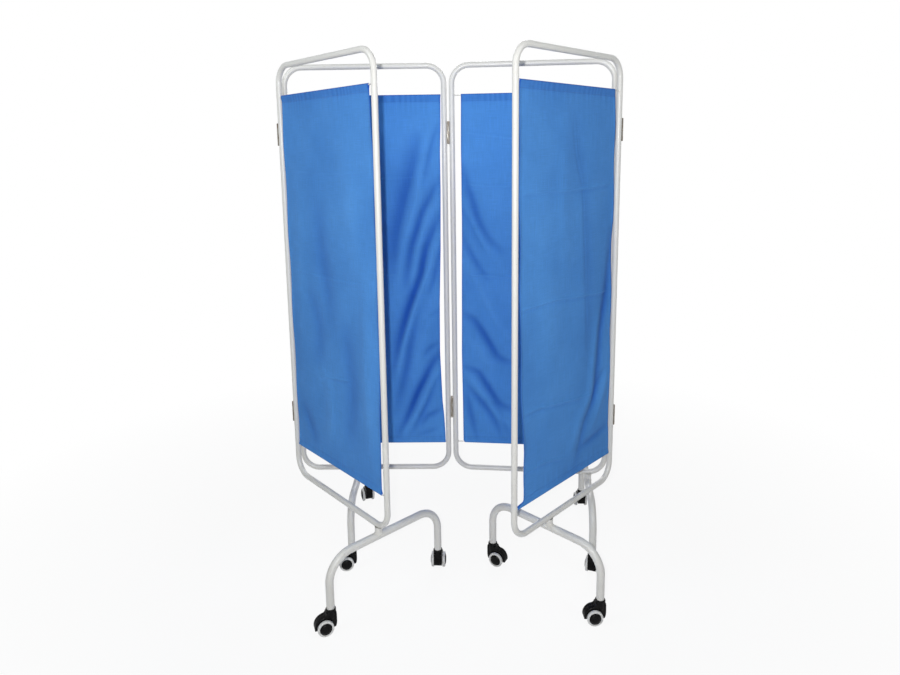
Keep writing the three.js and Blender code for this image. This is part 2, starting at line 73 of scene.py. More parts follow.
# Each panel: its foot's place as a share of its width, and off its plane; its bottom rod's height
# above the rail; its casters' headings in degrees; the side of the cloth that is seen; the fold that
# holds it, where the fold's pins are in its own frame, and its turn in degrees
PANELS = {
    "panel1": dict(foot_share=1 - 0.9083, shift=-30, rod_rise=114, front=-46, back=69, seen=1,
                   fold="left_fold", pin=(FAR_PIN, -PIN_OFFSET), turn=REAR_TURN + STRAIGHT - LEFT_ANGLE),
    "panel2": dict(foot_share=0.3743, shift=10, rod_rise=100, front=192, back=110, seen=-1,
                   fold="left_fold", pin=(NEAR_PIN, -PIN_OFFSET), turn=REAR_TURN),
    "panel3": dict(foot_share=1 - 0.1083, shift=10, rod_rise=102, front=76, back=96, seen=-1,
                   fold="centre_fold", pin=(NEAR_PIN, PIN_OFFSET), turn=-REAR_TURN),
    "panel4": dict(foot_share=0.6697, shift=-23, rod_rise=97, front=105, back=-42, seen=1,
                   fold="right_fold", pin=(NEAR_PIN, -PIN_OFFSET), turn=RIGHT_ANGLE - STRAIGHT - REAR_TURN),
}
AXES = {joint["name"]: Vector(joint["pos_m"]) for joint in frame["joints"]}


def shift(x, y, z):
    return Matrix.Translation(Vector((x, y, z)) * MM)


def spin(degrees, axis="Z"):
    return Matrix.Rotation(math.radians(degrees), 4, axis)


def panel_place(panel):
    """The matrix of a panel whose pins lie on the axis of its fold."""
    x, y = panel["pin"]
    axis = AXES[panel["fold"]]
    return Matrix.Translation((axis.x, axis.y, 0)) @ spin(panel["turn"]) @ shift(-x, -y, 0)


def foot_place(panel):
    return FRAME_WIDTH * panel["foot_share"]


def bottom_rod(panel):
    return BOTTOM_RAIL + panel["rod_rise"]


PLACES = {name: panel_place(panel) for name, panel in PANELS.items()}


# Materials

# Heights between which grime on the legs fades, and depths of the surfaces' fine relief, in metres
GRIME_HEIGHTS = (0.05, 0.34)
PEEL, RIPPLE, ROD_GRAIN, BRUSHING = 0.00008, 0.0003, 0.00005, 0.00006
SPARK_GRAIN, TYRE_GRAIN, TWIST = 0.00004, 0.0001, 0.0001
CRUMPLE, STREAK, WEAVE = 0.0016, 0.0012, 0.00022


class Nodes:
    """A short way to write a material's or the world's node tree."""

    def __init__(self, tree):
        self.tree = tree
        tree.nodes.clear()

    def add(self, kind, inputs=None, **values):
        node = self.tree.nodes.new("ShaderNode" + kind)
        for key, value in values.items():
            setattr(node, key, value)
        for key, value in (inputs or {}).items():
            self.put(node.inputs[key], value)
        return node

    def put(self, socket, value):
        """Links another node's output to a socket, or sets its value."""
        if isinstance(value, bpy.types.NodeSocket):
            self.tree.links.new(value, socket)
        else:
            socket.default_value = value

    def own_place(self):
        """Places in the piece's own frame."""
        return self.add("TexCoord").outputs["Object"]

    def ramp(self, factor, stops):
        node = self.add("ValToRGB", {0: factor})
        while len(node.color_ramp.elements) < len(stops):
            node.color_ramp.elements.new(0.5)
        for element, (place, colour) in zip(node.color_ramp.elements, stops):
            element.position = place
            element.color = (*colour, 1) if isinstance(colour, tuple) else (colour, colour, colour, 1)
        return node.outputs[0]

    def noise(self, vector, scale, detail=3, rough=0.55):
        inputs = {"Vector": vector, "Scale": scale, "Detail": detail, "Roughness": rough}
        return self.add("TexNoise", inputs).outputs["Fac"]

    def patches(self, vector, scale, detail, rough, start, full):
        """Noise cut to patches that begin at one of its levels and are full at another."""
        return self.ramp(self.noise(vector, scale, detail, rough), [(start, 0.0), (full, 1.0)])

    def scaled(self, vector, scale):
        return self.add("Mapping", {"Vector": vector, "Scale": scale}).outputs[0]

    def span(self, value, low, high, start=0.0, end=1.0):
        """Low at the value start and high at the value end."""
        inputs = {0: value, 1: start, 2: end, 3: low, 4: high}
        return self.add("MapRange", inputs).outputs[0]

    def mix(self, factor, a, b, blend="MIX"):
        node = self.add("Mix", data_type="RGBA", blend_type=blend)
        for index, value in ((0, factor), (6, a), (7, b)):
            self.put(node.inputs[index], (*value, 1) if isinstance(value, tuple) else value)
        return node.outputs[2]

    def math(self, operation, a, b=0.0):
        return self.add("Math", {0: a, 1: b}, operation=operation).outputs[0]

    def bump(self, height, distance, strength=1.0, normal=None):
        inputs = {"Height": height, "Distance": distance, "Strength": strength}
        if normal is not None:
            inputs["Normal"] = normal
        return self.add("Bump", inputs).outputs[0]

    def seen_ray(self):
        """One for rays from the camera, straight or by way of a mirror or glass, and zero for light."""
        path = self.add("LightPath").outputs
        by_way = self.math("MAXIMUM", path["Is Glossy Ray"], path["Is Transmission Ray"])
        return self.math("MAXIMUM", path["Is Camera Ray"], by_way)

    def surface(self, **inputs):
        shader = self.add("BsdfPrincipled", {k.replace("_", " "): v for k, v in inputs.items()})
        self.add("OutputMaterial", {"Surface": shader.outputs[0]})


def srgb(*levels):
    """Linear colour of an 8-bit one."""
    shares = [level / 255 for level in levels]
    return tuple(c / 12.92 if c <= 0.04045 else ((c + 0.055) / 1.055) ** 2.4 for c in shares)


def new_material(name):
    material = bpy.data.materials.new(name)
    material.use_nodes = True
    return material, Nodes(material.node_tree)


def white_paint():
    """Stove enamel on steel tube: faint orange peel, rub marks, and grime that gathers low on the legs."""
    material, n = new_material("white_enamel")
    co = n.own_place()
    height = n.add("SeparateXYZ", {0: co}).outputs["Z"]
    low = n.span(height, 1.0, 0.12, *GRIME_HEIGHTS)
    grime = n.math("MULTIPLY", n.patches(co, 9, 5, 0.62, 0.42, 0.72), low)
    tint = n.mix(n.noise(co, 2.3, 2), srgb(224, 222, 217), srgb(232, 230, 225))
    dirty = n.mix(n.math("MULTIPLY", grime, 0.3), tint, srgb(176, 172, 162))
    specks = n.patches(co, 310, 2, 0.5, 0.715, 0.735)
    colour = n.mix(n.math("MULTIPLY", specks, 0.55), dirty, srgb(118, 114, 108))
    rough = n.span(n.noise(co, 34, 4), 0.27, 0.46)
    peel = n.bump(n.noise(co, 420, 2), PEEL, 0.7)
    ripple = n.bump(n.noise(n.scaled(co, (1, 1, 0.2)), 60, 2), RIPPLE, 0.4, peel)
    n.surface(Base_Color=colour, Roughness=rough, Normal=ripple, Coat_Weight=0.12, Coat_Roughness=0.2)
    return material


def two_tone(name, patches, colours, roughness, grain, stretch=(1, 1, 1), **values):
    """A surface with patches of a second colour and roughness, and a fine grain."""
    material, n = new_material(name)
    co = n.own_place()
    patch = n.patches(co, *patches)
    scale, detail, depth, strength = grain
    relief = n.bump(n.noise(n.scaled(co, stretch), scale, detail), depth, strength)
    n.surface(Base_Color=n.mix(patch, *colours), Roughness=n.span(patch, *roughness), Normal=relief, **values)
    return material


def rod_paint():
    """Thin painted wire, a little rubbed where the hems slide on it."""
    return two_tone("rod_enamel", patches=(130, 4, 0.65, 0.55, 0.7), roughness=(0.32, 0.5), Metallic=0.15,
                    colours=(srgb(219, 218, 214), srgb(168, 166, 160)), grain=(700, 3, ROD_GRAIN, 1.0))


def hinge_steel():
    """Zinc-plated butt hinge, brownish where the plating has dulled."""
    return two_tone("hinge_zinc", patches=(85, 5, 0.66, 0.4, 0.68), roughness=(0.34, 0.68), Metallic=0.72,
                    colours=(srgb(176, 172, 164), srgb(121, 103, 84)), grain=(900, 2, BRUSHING, 0.8),
                    stretch=(1, 1, 0.06))


def black_plastic():
    """Moulded nylon: fine spark texture, and a breath of dust that dulls it."""
    return two_tone("black_nylon", patches=(55, 5, 0.7, 0.54, 0.8), roughness=(0.24, 0.5),
                    colours=(srgb(9, 9, 10), srgb(30, 29, 28)), grain=(1500, 2, SPARK_GRAIN, 0.4),
                    Specular_IOR_Level=0.1)


def grey_tread():
    """Grey wheel tyre, darker and rougher where it has picked up floor dirt."""
    return two_tone("grey_tyre", patches=(120, 5, 0.7, 0.46, 0.74), roughness=(0.5, 0.78),
                    colours=(srgb(232, 231, 229), srgb(186, 184, 180)), grain=(900, 3, TYRE_GRAIN, 0.5))


def blue_cloth():
    """Plain-woven cotton: threads both ways, slubs, soft fading and fine crumples, with painted shade in the
    hollows of the folds and painted light on their ridges. UVs are in metres."""
    material, n = new_material("blue_cotton")
    uv = n.add("UVMap").outputs[0]
    wave = dict(wave_type="BANDS", wave_profile="SIN")
    bands = {"Vector": uv, "Scale": 380.0, "Distortion": 0.6, "Detail": 1.0, "Detail Scale": 1.0}
    warp = n.add("TexWave", bands, bands_direction="X", **wave).outputs["Fac"]
    weft = n.add("TexWave", bands, bands_direction="Y", **wave).outputs["Fac"]
    weave = n.math("MULTIPLY", warp, weft)
    slub = n.math("MULTIPLY", n.noise(n.scaled(uv, (420, 16, 1)), 1, 3, 0.6), 0.5)
    cross = n.math("MULTIPLY", n.noise(n.scaled(uv, (18, 520, 1)), 1, 3, 0.6), 0.5)
    tone = n.mix(n.patches(uv, 4.5, 3, 0.5, 0.32, 0.7), srgb(79, 146, 224), srgb(88, 157, 234))
    threads = n.ramp(n.math("ADD", slub, cross), [(0.35, 0.88), (0.65, 1.07)])
    shade = n.ramp(weave, [(0.0, 0.9), (0.5, 1.02)])
    # Painted shade and light, read from a point attribute of the sheet: much darker blue in the folds'
    # hollows and at the hems and edges, paler on the folds' ridges
    painted_shading = n.add("Attribute", attribute_name="painted_shading").outputs["Fac"]
    painted_fold_shading = n.ramp(painted_shading, [(0.02, (0.22, 0.36, 0.66)), (0.5, (1.0, 1.0, 1.0)), (0.86, (1.24, 1.16, 1.1))])
    colour = n.mix(1.0, tone, threads, "MULTIPLY")
    colour = n.mix(1.0, colour, shade, "MULTIPLY")
    colour = n.mix(1.0, colour, painted_fold_shading, "MULTIPLY")
    crumple = n.bump(n.noise(uv, 26, 4, 0.6), CRUMPLE, 0.55)
    streak = n.bump(n.noise(n.scaled(uv, (55, 4, 1)), 1, 3, 0.5), STREAK, 0.5, crumple)
    normal = n.bump(weave, WEAVE, 0.6, streak)
    n.surface(Base_Color=colour, Roughness=0.9, Normal=normal, Sheen_Weight=0.05, Sheen_Roughness=0.5,
              Specular_IOR_Level=0.1)
    return material


def thread():
    """Twisted sewing thread."""
    material, n = new_material("sewing_thread")
    twist = n.noise(n.own_place(), 1300, 2)
    colour = n.mix(twist, srgb(38, 84, 158), srgb(62, 116, 190))
    n.surface(Base_Color=colour, Roughness=0.6, Normal=n.bump(twist, TWIST), Sheen_Weight=0.2)
    return material


# Each finish: its material and the slot of the CAD model that it fills
PAINT = (white_paint(), "white_paint")
ROD = (rod_paint(), "rod_paint")
STEEL = (hinge_steel(), "hinge_steel")
BLACK = (black_plastic(), "black_plastic")
TREAD = (grey_tread(), "grey_tread")
CLOTH = (blue_cloth(), "blue_cloth")
THREAD = (thread(), "blue_cloth")


# Meshes

# Points closer than this, in metres, are one; faces that meet at more than these degrees keep an edge
WELD_DISTANCE = 1e-6
SHARP_ANGLE, SMOOTH_ANGLE = 35, 60


def step(a, b, value):
    """Rises smoothly from zero at a to one at b."""
    t = np.clip((value - a) / (b - a), 0, 1)
    return t * t * (3 - 2 * t)


def circle(count):
    """Angles of evenly spaced points round a circle."""
    return [2 * math.pi * k / count for k in range(count)]


class Shape:
    """Points and faces gathered for one mesh."""

    def __init__(self):
        self.points, self.faces = [], []

    def grid(self, rings, caps=(False, False)):
        """Joins rings of equal length with quads, and closes the first and last ring where caps says."""
        start, size = len(self.points), len(rings[0])
        for ring in rings:
            self.points.extend(ring)
        for i in range(len(rings) - 1):
            for k in range(size):
                a, b = start + i * size + k, start + i * size + (k + 1) % size
                self.faces.append((a, b, b + size, a + size))
        if caps[0]:
            self.faces.append(tuple(range(start + size - 1, start - 1, -1)))
        if caps[1]:
            last = start + (len(rings) - 1) * size
            self.faces.append(tuple(range(last, last + size)))
        return self

    def turned(self, profile, axis="z", sides=40, at=(0, 0, 0)):
        """A turned body from (radius, height) pairs about an axis through a point."""
        rings = []
        for radius, height in profile:
            ring = []
            for t in circle(sides):
                u, v = radius * math.cos(t), radius * math.sin(t)
                point = {"z": (u, v, height), "y": (v, height, u), "x": (height, u, v)}[axis]
                ring.append(Vector(point) + Vector(at))
            rings.append(ring)
        return self.grid(rings, caps=(True, True))

    def swept(self, stations, radius, across, sides=32, closed=False):
        """A round bar through (place, heading) pairs in the plane that across stands on."""
        rings = []
        for place, heading in stations:
            beside = heading.cross(across)
            rings.append([place + across * radius * math.cos(t) + beside * radius * math.sin(t)
                          for t in circle(sides)])
        if closed:
            rings.append(rings[0])
        return self.grid(rings, caps=(not closed, not closed))

    def slab(self, outline, low, high, edge):
        """A flat plate across X with eased edges, from its outline in Y and Z."""
        centre = Vector((sum(p[0] for p in outline), sum(p[1] for p in outline))) / len(outline)
        rings = []
        for depth, inset in ((low, edge), (low + edge, 0), (high - edge, 0), (high, edge)):
            ring = []
            for p in outline:
                out = Vector(p) - centre
                q = centre + out * (1 - inset / out.length)
                ring.append(Vector((depth, q.x, q.y)))
            rings.append(ring)
        return self.grid(rings, caps=(True, True))

    def mesh(self, name, place=None, sharp=SHARP_ANGLE):
        mesh = bpy.data.meshes.new(name)
        mesh.from_pydata([tuple(p) for p in self.points], [], self.faces)
        mesh.transform((place or Matrix.Identity(4)) @ TO_METRES)
        clean(mesh)
        mesh.shade_smooth()
        mesh.set_sharp_from_angle(angle=math.radians(sharp))
        return mesh


def clean(mesh):
    """Welds doubled points and turns all faces outwards."""
    bm = bmesh.new()
    bm.from_mesh(mesh)
    bmesh.ops.remove_doubles(bm, verts=bm.verts, dist=WELD_DISTANCE)
    bmesh.ops.recalc_face_normals(bm, faces=bm.faces)
    bm.to_mesh(mesh)
    bm.free()


def new_object(name, data):
    obj = bpy.data.objects.new(name, data)
    bpy.context.scene.collection.objects.link(obj)
    return obj


def piece(name, mesh, finish, body, place=None, stands_for=()):
    """Puts one piece of the object in the scene, on its CAD body."""
    material, slot = finish
    if not mesh.materials:
        mesh.materials.append(material)
    obj = new_object(name, mesh)
    if place is not None:
        obj.matrix_world = place
    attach(obj, body)
    if stands_for:
        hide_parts(*stands_for)
    return obj


def bend(centre, radius, start, right, up, steps=16):
    """Stations round a quarter bend from the angle start."""
    stations = []
    for i in range(steps + 1):
        t = start + math.pi / 2 * i / steps
        place = centre + right * radius * math.cos(t) + up * radius * math.sin(t)
        stations.append((place, up * math.cos(t) - right * math.sin(t)))
    return stations


# Frame, foot and rods

# Weld beads: radii, lumps, and where towards the panel's faces they are ground flat
TOP_BEAD, LOWER_BEAD, BEAD_SIDES = 1.7, 1.9, 8
LUMP_SHARE, WAVE_SHARE, LUMP_STEP, WAVE_STEP = 0.22, 0.1, 0.31, 1.3
GROUND_SHARE, GROUND_FROM_SHARE, GROUND_OVER_SHARE, UNGROUND_SHARE = 0.96, 0.42, 0.25, 1.0
LOWER_SEED, PANEL_SEED = 7, 3

# Shares of the post's height at which its wall has a ring of points
POST_SHARES = (0, 0.08, 0.5, 0.92, 1)
POST_SIDES = 48

# Rod: where it starts from the stile's centre line, and the upset seat where it enters the stile
ROD_START, SEAT_START, SEAT_RAMP, SEAT_SWELL, SEAT_PAST_TUBE, SEAT_STEP = 0.3, 7, 1.4, 0.8, 1.6, 0.9


def frame_tube():
    """The closed loop of a panel's frame."""
    left, right = FRAME_CORNER, FRAME_WIDTH - FRAME_CORNER
    low, high = BOTTOM_RAIL + FRAME_CORNER, TOP_RAIL - FRAME_CORNER
    stations = []
    for x, z, start in ((right, low, -0.5), (right, high, 0), (left, high, 0.5), (left, low, 1)):
        stations += bend(Vector((x, 0, z)), FRAME_CORNER, start * math.pi, X, Z)
    return Shape().swept(stations, FRAME_RADIUS, Y, closed=True)


def foot_arch(panel):
    """The bent foot, from one leg's end to the other's."""
    x, middle = foot_place(panel), panel["shift"]
    front, back = middle - FOOT_SPAN / 2, middle + FOOT_SPAN / 2
    top = ARCH_HEIGHT - ARCH_CORNER
    stations = [(Vector((x, back, LEG_END)), Z)]
    stations += bend(Vector((x, back - ARCH_CORNER, top)), ARCH_CORNER, 0, Y, Z)
    stations += bend(Vector((x, front + ARCH_CORNER, top)), ARCH_CORNER, math.pi / 2, Y, Z)
    stations += [(Vector((x, front, LEG_END)), -Z)]
    return Shape().swept(stations, ARCH_RADIUS, X)


def weld_bead(shape, curve, radius, seed, ground_from):
    """A lumpy bead along a closed curve of (place, outward) pairs, ground flat towards the panel's faces."""
    rings = []
    for i, (place, out) in enumerate(curve):
        lumps = LUMP_SHARE * noise.noise(Vector((i * LUMP_STEP, seed, 0)))
        swell = radius * (1 + lumps + WAVE_SHARE * math.sin(i * WAVE_STEP))
        ground = float(step(ground_from, ground_from + GROUND_OVER_SHARE, abs(out.y)))
        swell *= 1 - GROUND_SHARE * ground
        turns = circle(BEAD_SIDES)
        rings.append([place + out * swell * math.cos(t) + Z * swell * math.sin(t) for t in turns])
    rings.append(rings[0])
    shape.grid(rings)


def foot_post(panel, seed):
    """The short post, notched round the rail and the arch, with its two weld beads."""
    x0 = foot_place(panel)
    top, bottom, walls = [], [], []
    for t in circle(POST_SIDES):
        out = Vector((math.cos(t), math.sin(t), 0))
        u, v = ARCH_RADIUS * out.x, ARCH_RADIUS * out.y
        high = BOTTOM_RAIL - max(FRAME_RADIUS / 2, math.sqrt(max(0, FRAME_RADIUS ** 2 - v * v)))
        low = ARCH_HEIGHT + math.sqrt(max(0, ARCH_RADIUS ** 2 - u * u))
        top.append((Vector((x0 + u, v, high)), out))
        bottom.append((Vector((x0 + u, v, low)), out))
    for share in POST_SHARES:
        walls.append([b.lerp(t, share) for (t, _), (b, _) in zip(top, bottom)])
    shape = Shape().grid(walls)
    weld_bead(shape, top, TOP_BEAD, seed, GROUND_FROM_SHARE)
    weld_bead(shape, bottom, LOWER_BEAD, seed + LOWER_SEED, UNGROUND_SHARE)
    return shape


def rod_wire(height):
    """A rod from stile to stile, its ends upset a little where they are pressed home."""
    seat, end = ROD_RADIUS + SEAT_SWELL, FRAME_RADIUS + SEAT_PAST_TUBE
    near = [(0, ROD_START), (ROD_RADIUS, ROD_START), (ROD_RADIUS, SEAT_START), (seat, SEAT_START + SEAT_RAMP),
            (seat, end), (ROD_RADIUS, end + SEAT_STEP)]
    far = [(radius, FRAME_WIDTH - x) for radius, x in reversed(near)]
    profile = near + [(ROD_RADIUS, FRAME_WIDTH / 2)] + far
    return Shape().turned(profile, axis="x", sides=18, at=(0, 0, height))


# Hinges

UPPER_HINGE, LOWER_HINGE = 1503, 505
LEAF_HEIGHT, LEAF_REACH, LEAF_START, LEAF_THICK, LEAF_EASE = 76, 20, 4.7, 2.4, 0.3
LEAF_CORNER, LEAF_CHAMFER, LEAF_GAP = 2.2, 0.6, 0.3
PLATE_FACE = STILE_SPACING / 2 - FRAME_RADIUS - LEAF_GAP
KNUCKLES, KNUCKLE_RADIUS, KNUCKLE_REACH, KNUCKLE_GAP, KNUCKLE_EASE, STRAP_EASE = 5, 4, 8, 0.2, 0.5, 0.2
PIN_RADIUS = 2
PIN_HEAD = [(2.4, 0), (3.1, 0.3), (3.2, 0.9), (2.4, 1.4), (1, 1.6)]

# Screws: heights from the leaf's middle, distance from the pin, head as (radius, depth into the plate)
# pairs, and the slot across it
SCREW_HEIGHTS, SCREW_REACH = (-26, 0, 26), 12.6
SCREW_HEAD = [(3.3, 0.3), (3.3, -0.01), (3.1, -0.03), (1.2, -0.03)]
SLOT_HALF_LENGTH, SLOT_HALF_WIDTH, SLOT_OUT, SLOT_IN, SLOT_EASE = 2.2, 0.4, 0.04, 0.2, 0.01


def box(y_low, y_high, z_low, z_high):
    return [(y_low, z_low), (y_high, z_low), (y_high, z_high), (y_low, z_high)]


def leaf_outline(half):
    """The plate's outline, with its two far corners eased."""
    upper = [(LEAF_START, half), (LEAF_REACH - LEAF_CORNER, half),
             (LEAF_REACH - LEAF_CHAMFER, half - LEAF_CHAMFER), (LEAF_REACH, half - LEAF_CORNER)]
    return [(y, -z) for y, z in upper] + upper[::-1]


def hinge_leaf(own, with_pin):
    """A leaf in its own frame: the pin is on the Z axis, and the plate lies towards +X and reaches to +Y."""
    shape, half, pitch = Shape(), LEAF_HEIGHT / 2, LEAF_HEIGHT / KNUCKLES
    inner, radius, ease = PLATE_FACE - LEAF_THICK, KNUCKLE_RADIUS, KNUCKLE_EASE
    shape.slab(leaf_outline(half), inner, PLATE_FACE, LEAF_EASE)
    for k in own:
        low = -half + k * pitch + (KNUCKLE_GAP if k else 0)
        high = -half + (k + 1) * pitch - (KNUCKLE_GAP if k < KNUCKLES - 1 else 0)
        shape.slab(box(0, KNUCKLE_REACH, low, high), inner, PLATE_FACE, STRAP_EASE)
        roll = [(radius - ease, low), (radius, low + ease), (radius, high - ease), (radius - ease, high)]
        shape.turned(roll, sides=32)
    for z in SCREW_HEIGHTS:
        head = [(r, inner + depth) for r, depth in SCREW_HEAD]
        shape.turned(head, axis="x", sides=24, at=(0, SCREW_REACH, z))
        slot = box(SCREW_REACH - SLOT_HALF_LENGTH, SCREW_REACH + SLOT_HALF_LENGTH,
                   z - SLOT_HALF_WIDTH, z + SLOT_HALF_WIDTH)
        shape.slab(slot, inner - SLOT_OUT, inner + SLOT_IN, SLOT_EASE)
    if with_pin:
        for side in (-1, 1):
            shape.turned([(r, side * (half + rise)) for r, rise in PIN_HEAD], sides=28)
        shape.turned([(PIN_RADIUS, -half), (PIN_RADIUS, half)], sides=20)
    return shape


LEAF_MESHES = {
    "pin": hinge_leaf((0, 2, 4), True).mesh("leaf_with_pin"),
    "plain": hinge_leaf((1, 3), False).mesh("plain_leaf"),
}


def hang_leaves(panel, fold, kind, to_right, in_front):
    """Both leaves of one panel at a fold, turned as in the CAD."""
    for level, height in (("upper", UPPER_HINGE), ("lower", LOWER_HINGE)):
        x = FAR_PIN if to_right else NEAR_PIN
        y = -PIN_OFFSET if in_front else PIN_OFFSET
        axis = ("Y" if in_front else "Z") if to_right else "X"
        flip = STRAIGHT if to_right or not in_front else 0
        place = PLACES[panel] @ shift(x, y, height) @ spin(flip, axis)
        node = f"{fold}_hinge_{level}_{kind}_leaf"
        piece(f"{node}_steel", LEAF_MESHES[kind], STEEL, panel, place, [node])


# Casters

WHEEL_RADIUS, TRAIL, WHEEL_INNER = 25, 20, 14.5

# Hood, in the caster's frame with the leg's axis at zero: the arc over the wheels about their axle,
# the collar's outline from the arc round to the hood's foot, and the foot's points
HOOD_RADIUS, HOOD_FLOOR_GAP, HOOD_ARC_END, HOOD_ARC_STEPS = 32, 20, 80, 40
COLLAR = [(21.5, 58), (18.4, 60.4), (16.4, 64.4), (15.2, 67.4), (8, 68), (-8, 68), (-15.2, 67.4),
          (-15.9, 60), (-16, 48), (-16, 37), (-15.3, 29), (-13.9, 23), (-12.2, 20.4)]
HOOD_FOOT = (-10.4, 0, 12, 24, 36)

# The hood's layers across the wheels: distance from the middle, and how far each is let in towards the
# hood's heart, for the grooves between its ribs
HOOD_LAYERS = [(14, 2.4), (13.7, 1.3), (13, 0.5), (12.2, 0), (10.9, 0), (10.2, 1.9), (9.2, 1.9), (8.5, 0),
               (6.2, 0), (5.5, 1.9), (4.5, 1.9), (3.8, 0), (1.2, 0), (0.6, 1.2)]
HOOD_HEART = Vector((16, 0, 34))
FOOT_BAND, FOOT_INSET = 2, 0.6

# Two thin ridges on each cheek of the hood: their radii, their section as (past the radius, from the
# middle) pairs, and the angles that they run between
RIDGE_RADII, RIDGE_ANGLES, RIDGE_STEPS = (27.4, 29.6), (-4, 104), 32
RIDGE = [(-0.5, 13.9), (-0.3, 14.35), (0.3, 14.35), (0.5, 13.9)]

# Turned parts as (radius, height) pairs: the cup for the leg's end, the tyre and the hub's cover
CUP = [(14.6, 46), (15.6, 50), (16, 54), (16, 69.4), (15.4, 69.9), (15.4, 71), (16, 71.6), (16, 73.4),
       (15.6, 75.2), (14.8, 76.7), (13.8, 77.7), (13.3, 77.9), (13, 77.5), (13, 73.4)]
TYRE = [(12, 0.4), (22.4, 0.4), (23.4, 0), (24.3, 0.35), (24.85, 1.2), (25, 2.4), (25, 6.6), (24.85, 7.8),
        (24.3, 8.6), (23.4, 9), (20.2, 9), (19.6, 8.6), (18.7, 8.5), (18.5, 6)]
HUB = [(18.45, 5), (18.45, 9.2), (18.1, 9.75), (17.2, 10.05), (16.1, 10.5), (15.8, 10.25), (15.2, 10.25),
       (14.9, 10.85), (13.2, 11.55), (11.4, 12.1), (8.4, 12.35), (8.1, 11.95), (7.5, 11.95), (7.2, 12.4),
       (4, 12.5), (1, 12.5)]


def on_arc(centre, radius, angle, y):
    """A point round an axis across the caster."""
    return Vector((centre.x + radius * math.cos(angle), y, centre.z + radius * math.sin(angle)))


def hood_outline(axle):
    """The hood from the side: over the wheels, down the collar and along the foot."""
    low, high = -math.asin((WHEEL_RADIUS - HOOD_FLOOR_GAP) / HOOD_RADIUS), math.radians(HOOD_ARC_END)
    turns = [low + (high - low) * i / HOOD_ARC_STEPS for i in range(HOOD_ARC_STEPS + 1)]
    points = [on_arc(axle, HOOD_RADIUS, t, 0) for t in turns]
    points += [Vector((x, 0, z)) for x, z in COLLAR]
    return points + [Vector((x, 0, HOOD_FLOOR_GAP)) for x in HOOD_FOOT]


def caster_hood():
    """The grooved hood over the wheels' upper halves, and the round-shouldered cup for the leg's end."""
    shape, axle = Shape(), Vector((TRAIL, 0, WHEEL_RADIUS))
    outline = hood_outline(axle)
    layers = [(-y, inset) for y, inset in HOOD_LAYERS] + [(y, inset) for y, inset in reversed(HOOD_LAYERS)]
    rings = []
    for y, inset in layers:
        ring = []
        for point in outline:
            out = point - HOOD_HEART
            held = min(inset, FOOT_INSET) if point.z < HOOD_FLOOR_GAP + FOOT_BAND else inset
            ring.append(HOOD_HEART + out * (1 - held / out.length) + Y * y)
        rings.append(ring)
    shape.grid(rings, caps=(True, True))
    start, end = (math.radians(angle) for angle in RIDGE_ANGLES)
    for side in (-1, 1):
        for radius in RIDGE_RADII:
            turns = [start + (end - start) * i / RIDGE_STEPS for i in range(RIDGE_STEPS + 1)]
            ridge = [[on_arc(axle, radius + past, t, side * y) for past, y in RIDGE] for t in turns]
            shape.grid(ridge, caps=(True, True))
    return shape.turned(CUP, sides=56)


HOOD_MESH = caster_hood().mesh("caster_hood", sharp=32)
TYRE_MESH = Shape().turned(TYRE, axis="y", sides=64).mesh("wheel_tyre", sharp=50)
HUB_MESH = Shape().turned(HUB, axis="y", sides=56).mesh("wheel_hub", sharp=50)


def caster(panel_name, end):
    """One caster under the front or the back leg of a panel."""
    panel = PANELS[panel_name]
    y = panel["shift"] + (FOOT_SPAN if end == "back" else -FOOT_SPAN) / 2
    place = PLACES[panel_name] @ shift(foot_place(panel), y, 0) @ spin(panel[end])
    body = f"{panel_name}_{end}_caster"
    piece(f"{body}_hood", HOOD_MESH, BLACK, body, place, [f"{body}_housing"])
    for side, sign in (("left", 1), ("right", -1)):
        at = place @ shift(TRAIL, sign * WHEEL_INNER, WHEEL_RADIUS) @ spin(0 if sign > 0 else STRAIGHT)
        wheel = f"{body}_{side}_wheel"
        piece(f"{wheel}_tyre", TYRE_MESH, TREAD, wheel, at, [wheel])
        piece(f"{wheel}_hub", HUB_MESH, BLACK, wheel, at)


# Curtains

# Left and right side edge of each cloth: (height, distance from the stile's centre line) pairs
EDGES = {"panel1": (
    [(380, 25), (404, 26), (526, 25), (593, 22), (692, 17), (900, 14), (1200, 14), (1444, 18), (1560, 22),
      (1632, 27)],
    [(380, 14), (1632, 15)],
), "panel2": (
    [(366, 14), (900, 16), (1632, 14)],
    [(366, 11), (409, 12), (470, 15), (527, 20), (720, 27), (907, 25), (1100, 19), (1300, 16), (1442, 16),
      (1530, 13), (1632, 12)],
), "panel3": (
    [(368, 34), (380, 29), (527, 28), (720, 26), (907, 28), (1200, 31), (1442, 30), (1632, 32)],
    [(368, 14), (900, 15), (1632, 14)],
), "panel4": (
    [(362, 12), (450, 14), (700, 19), (1000, 20), (1300, 21), (1500, 23), (1600, 28), (1632, 34)],
    [(362, 16), (374.5, 17), (376.5, 40), (384, 46), (410, 47), (540, 46), (620, 38), (700, 31), (900, 24),
      (1200, 19), (1500, 16), (1632, 15)],
)}

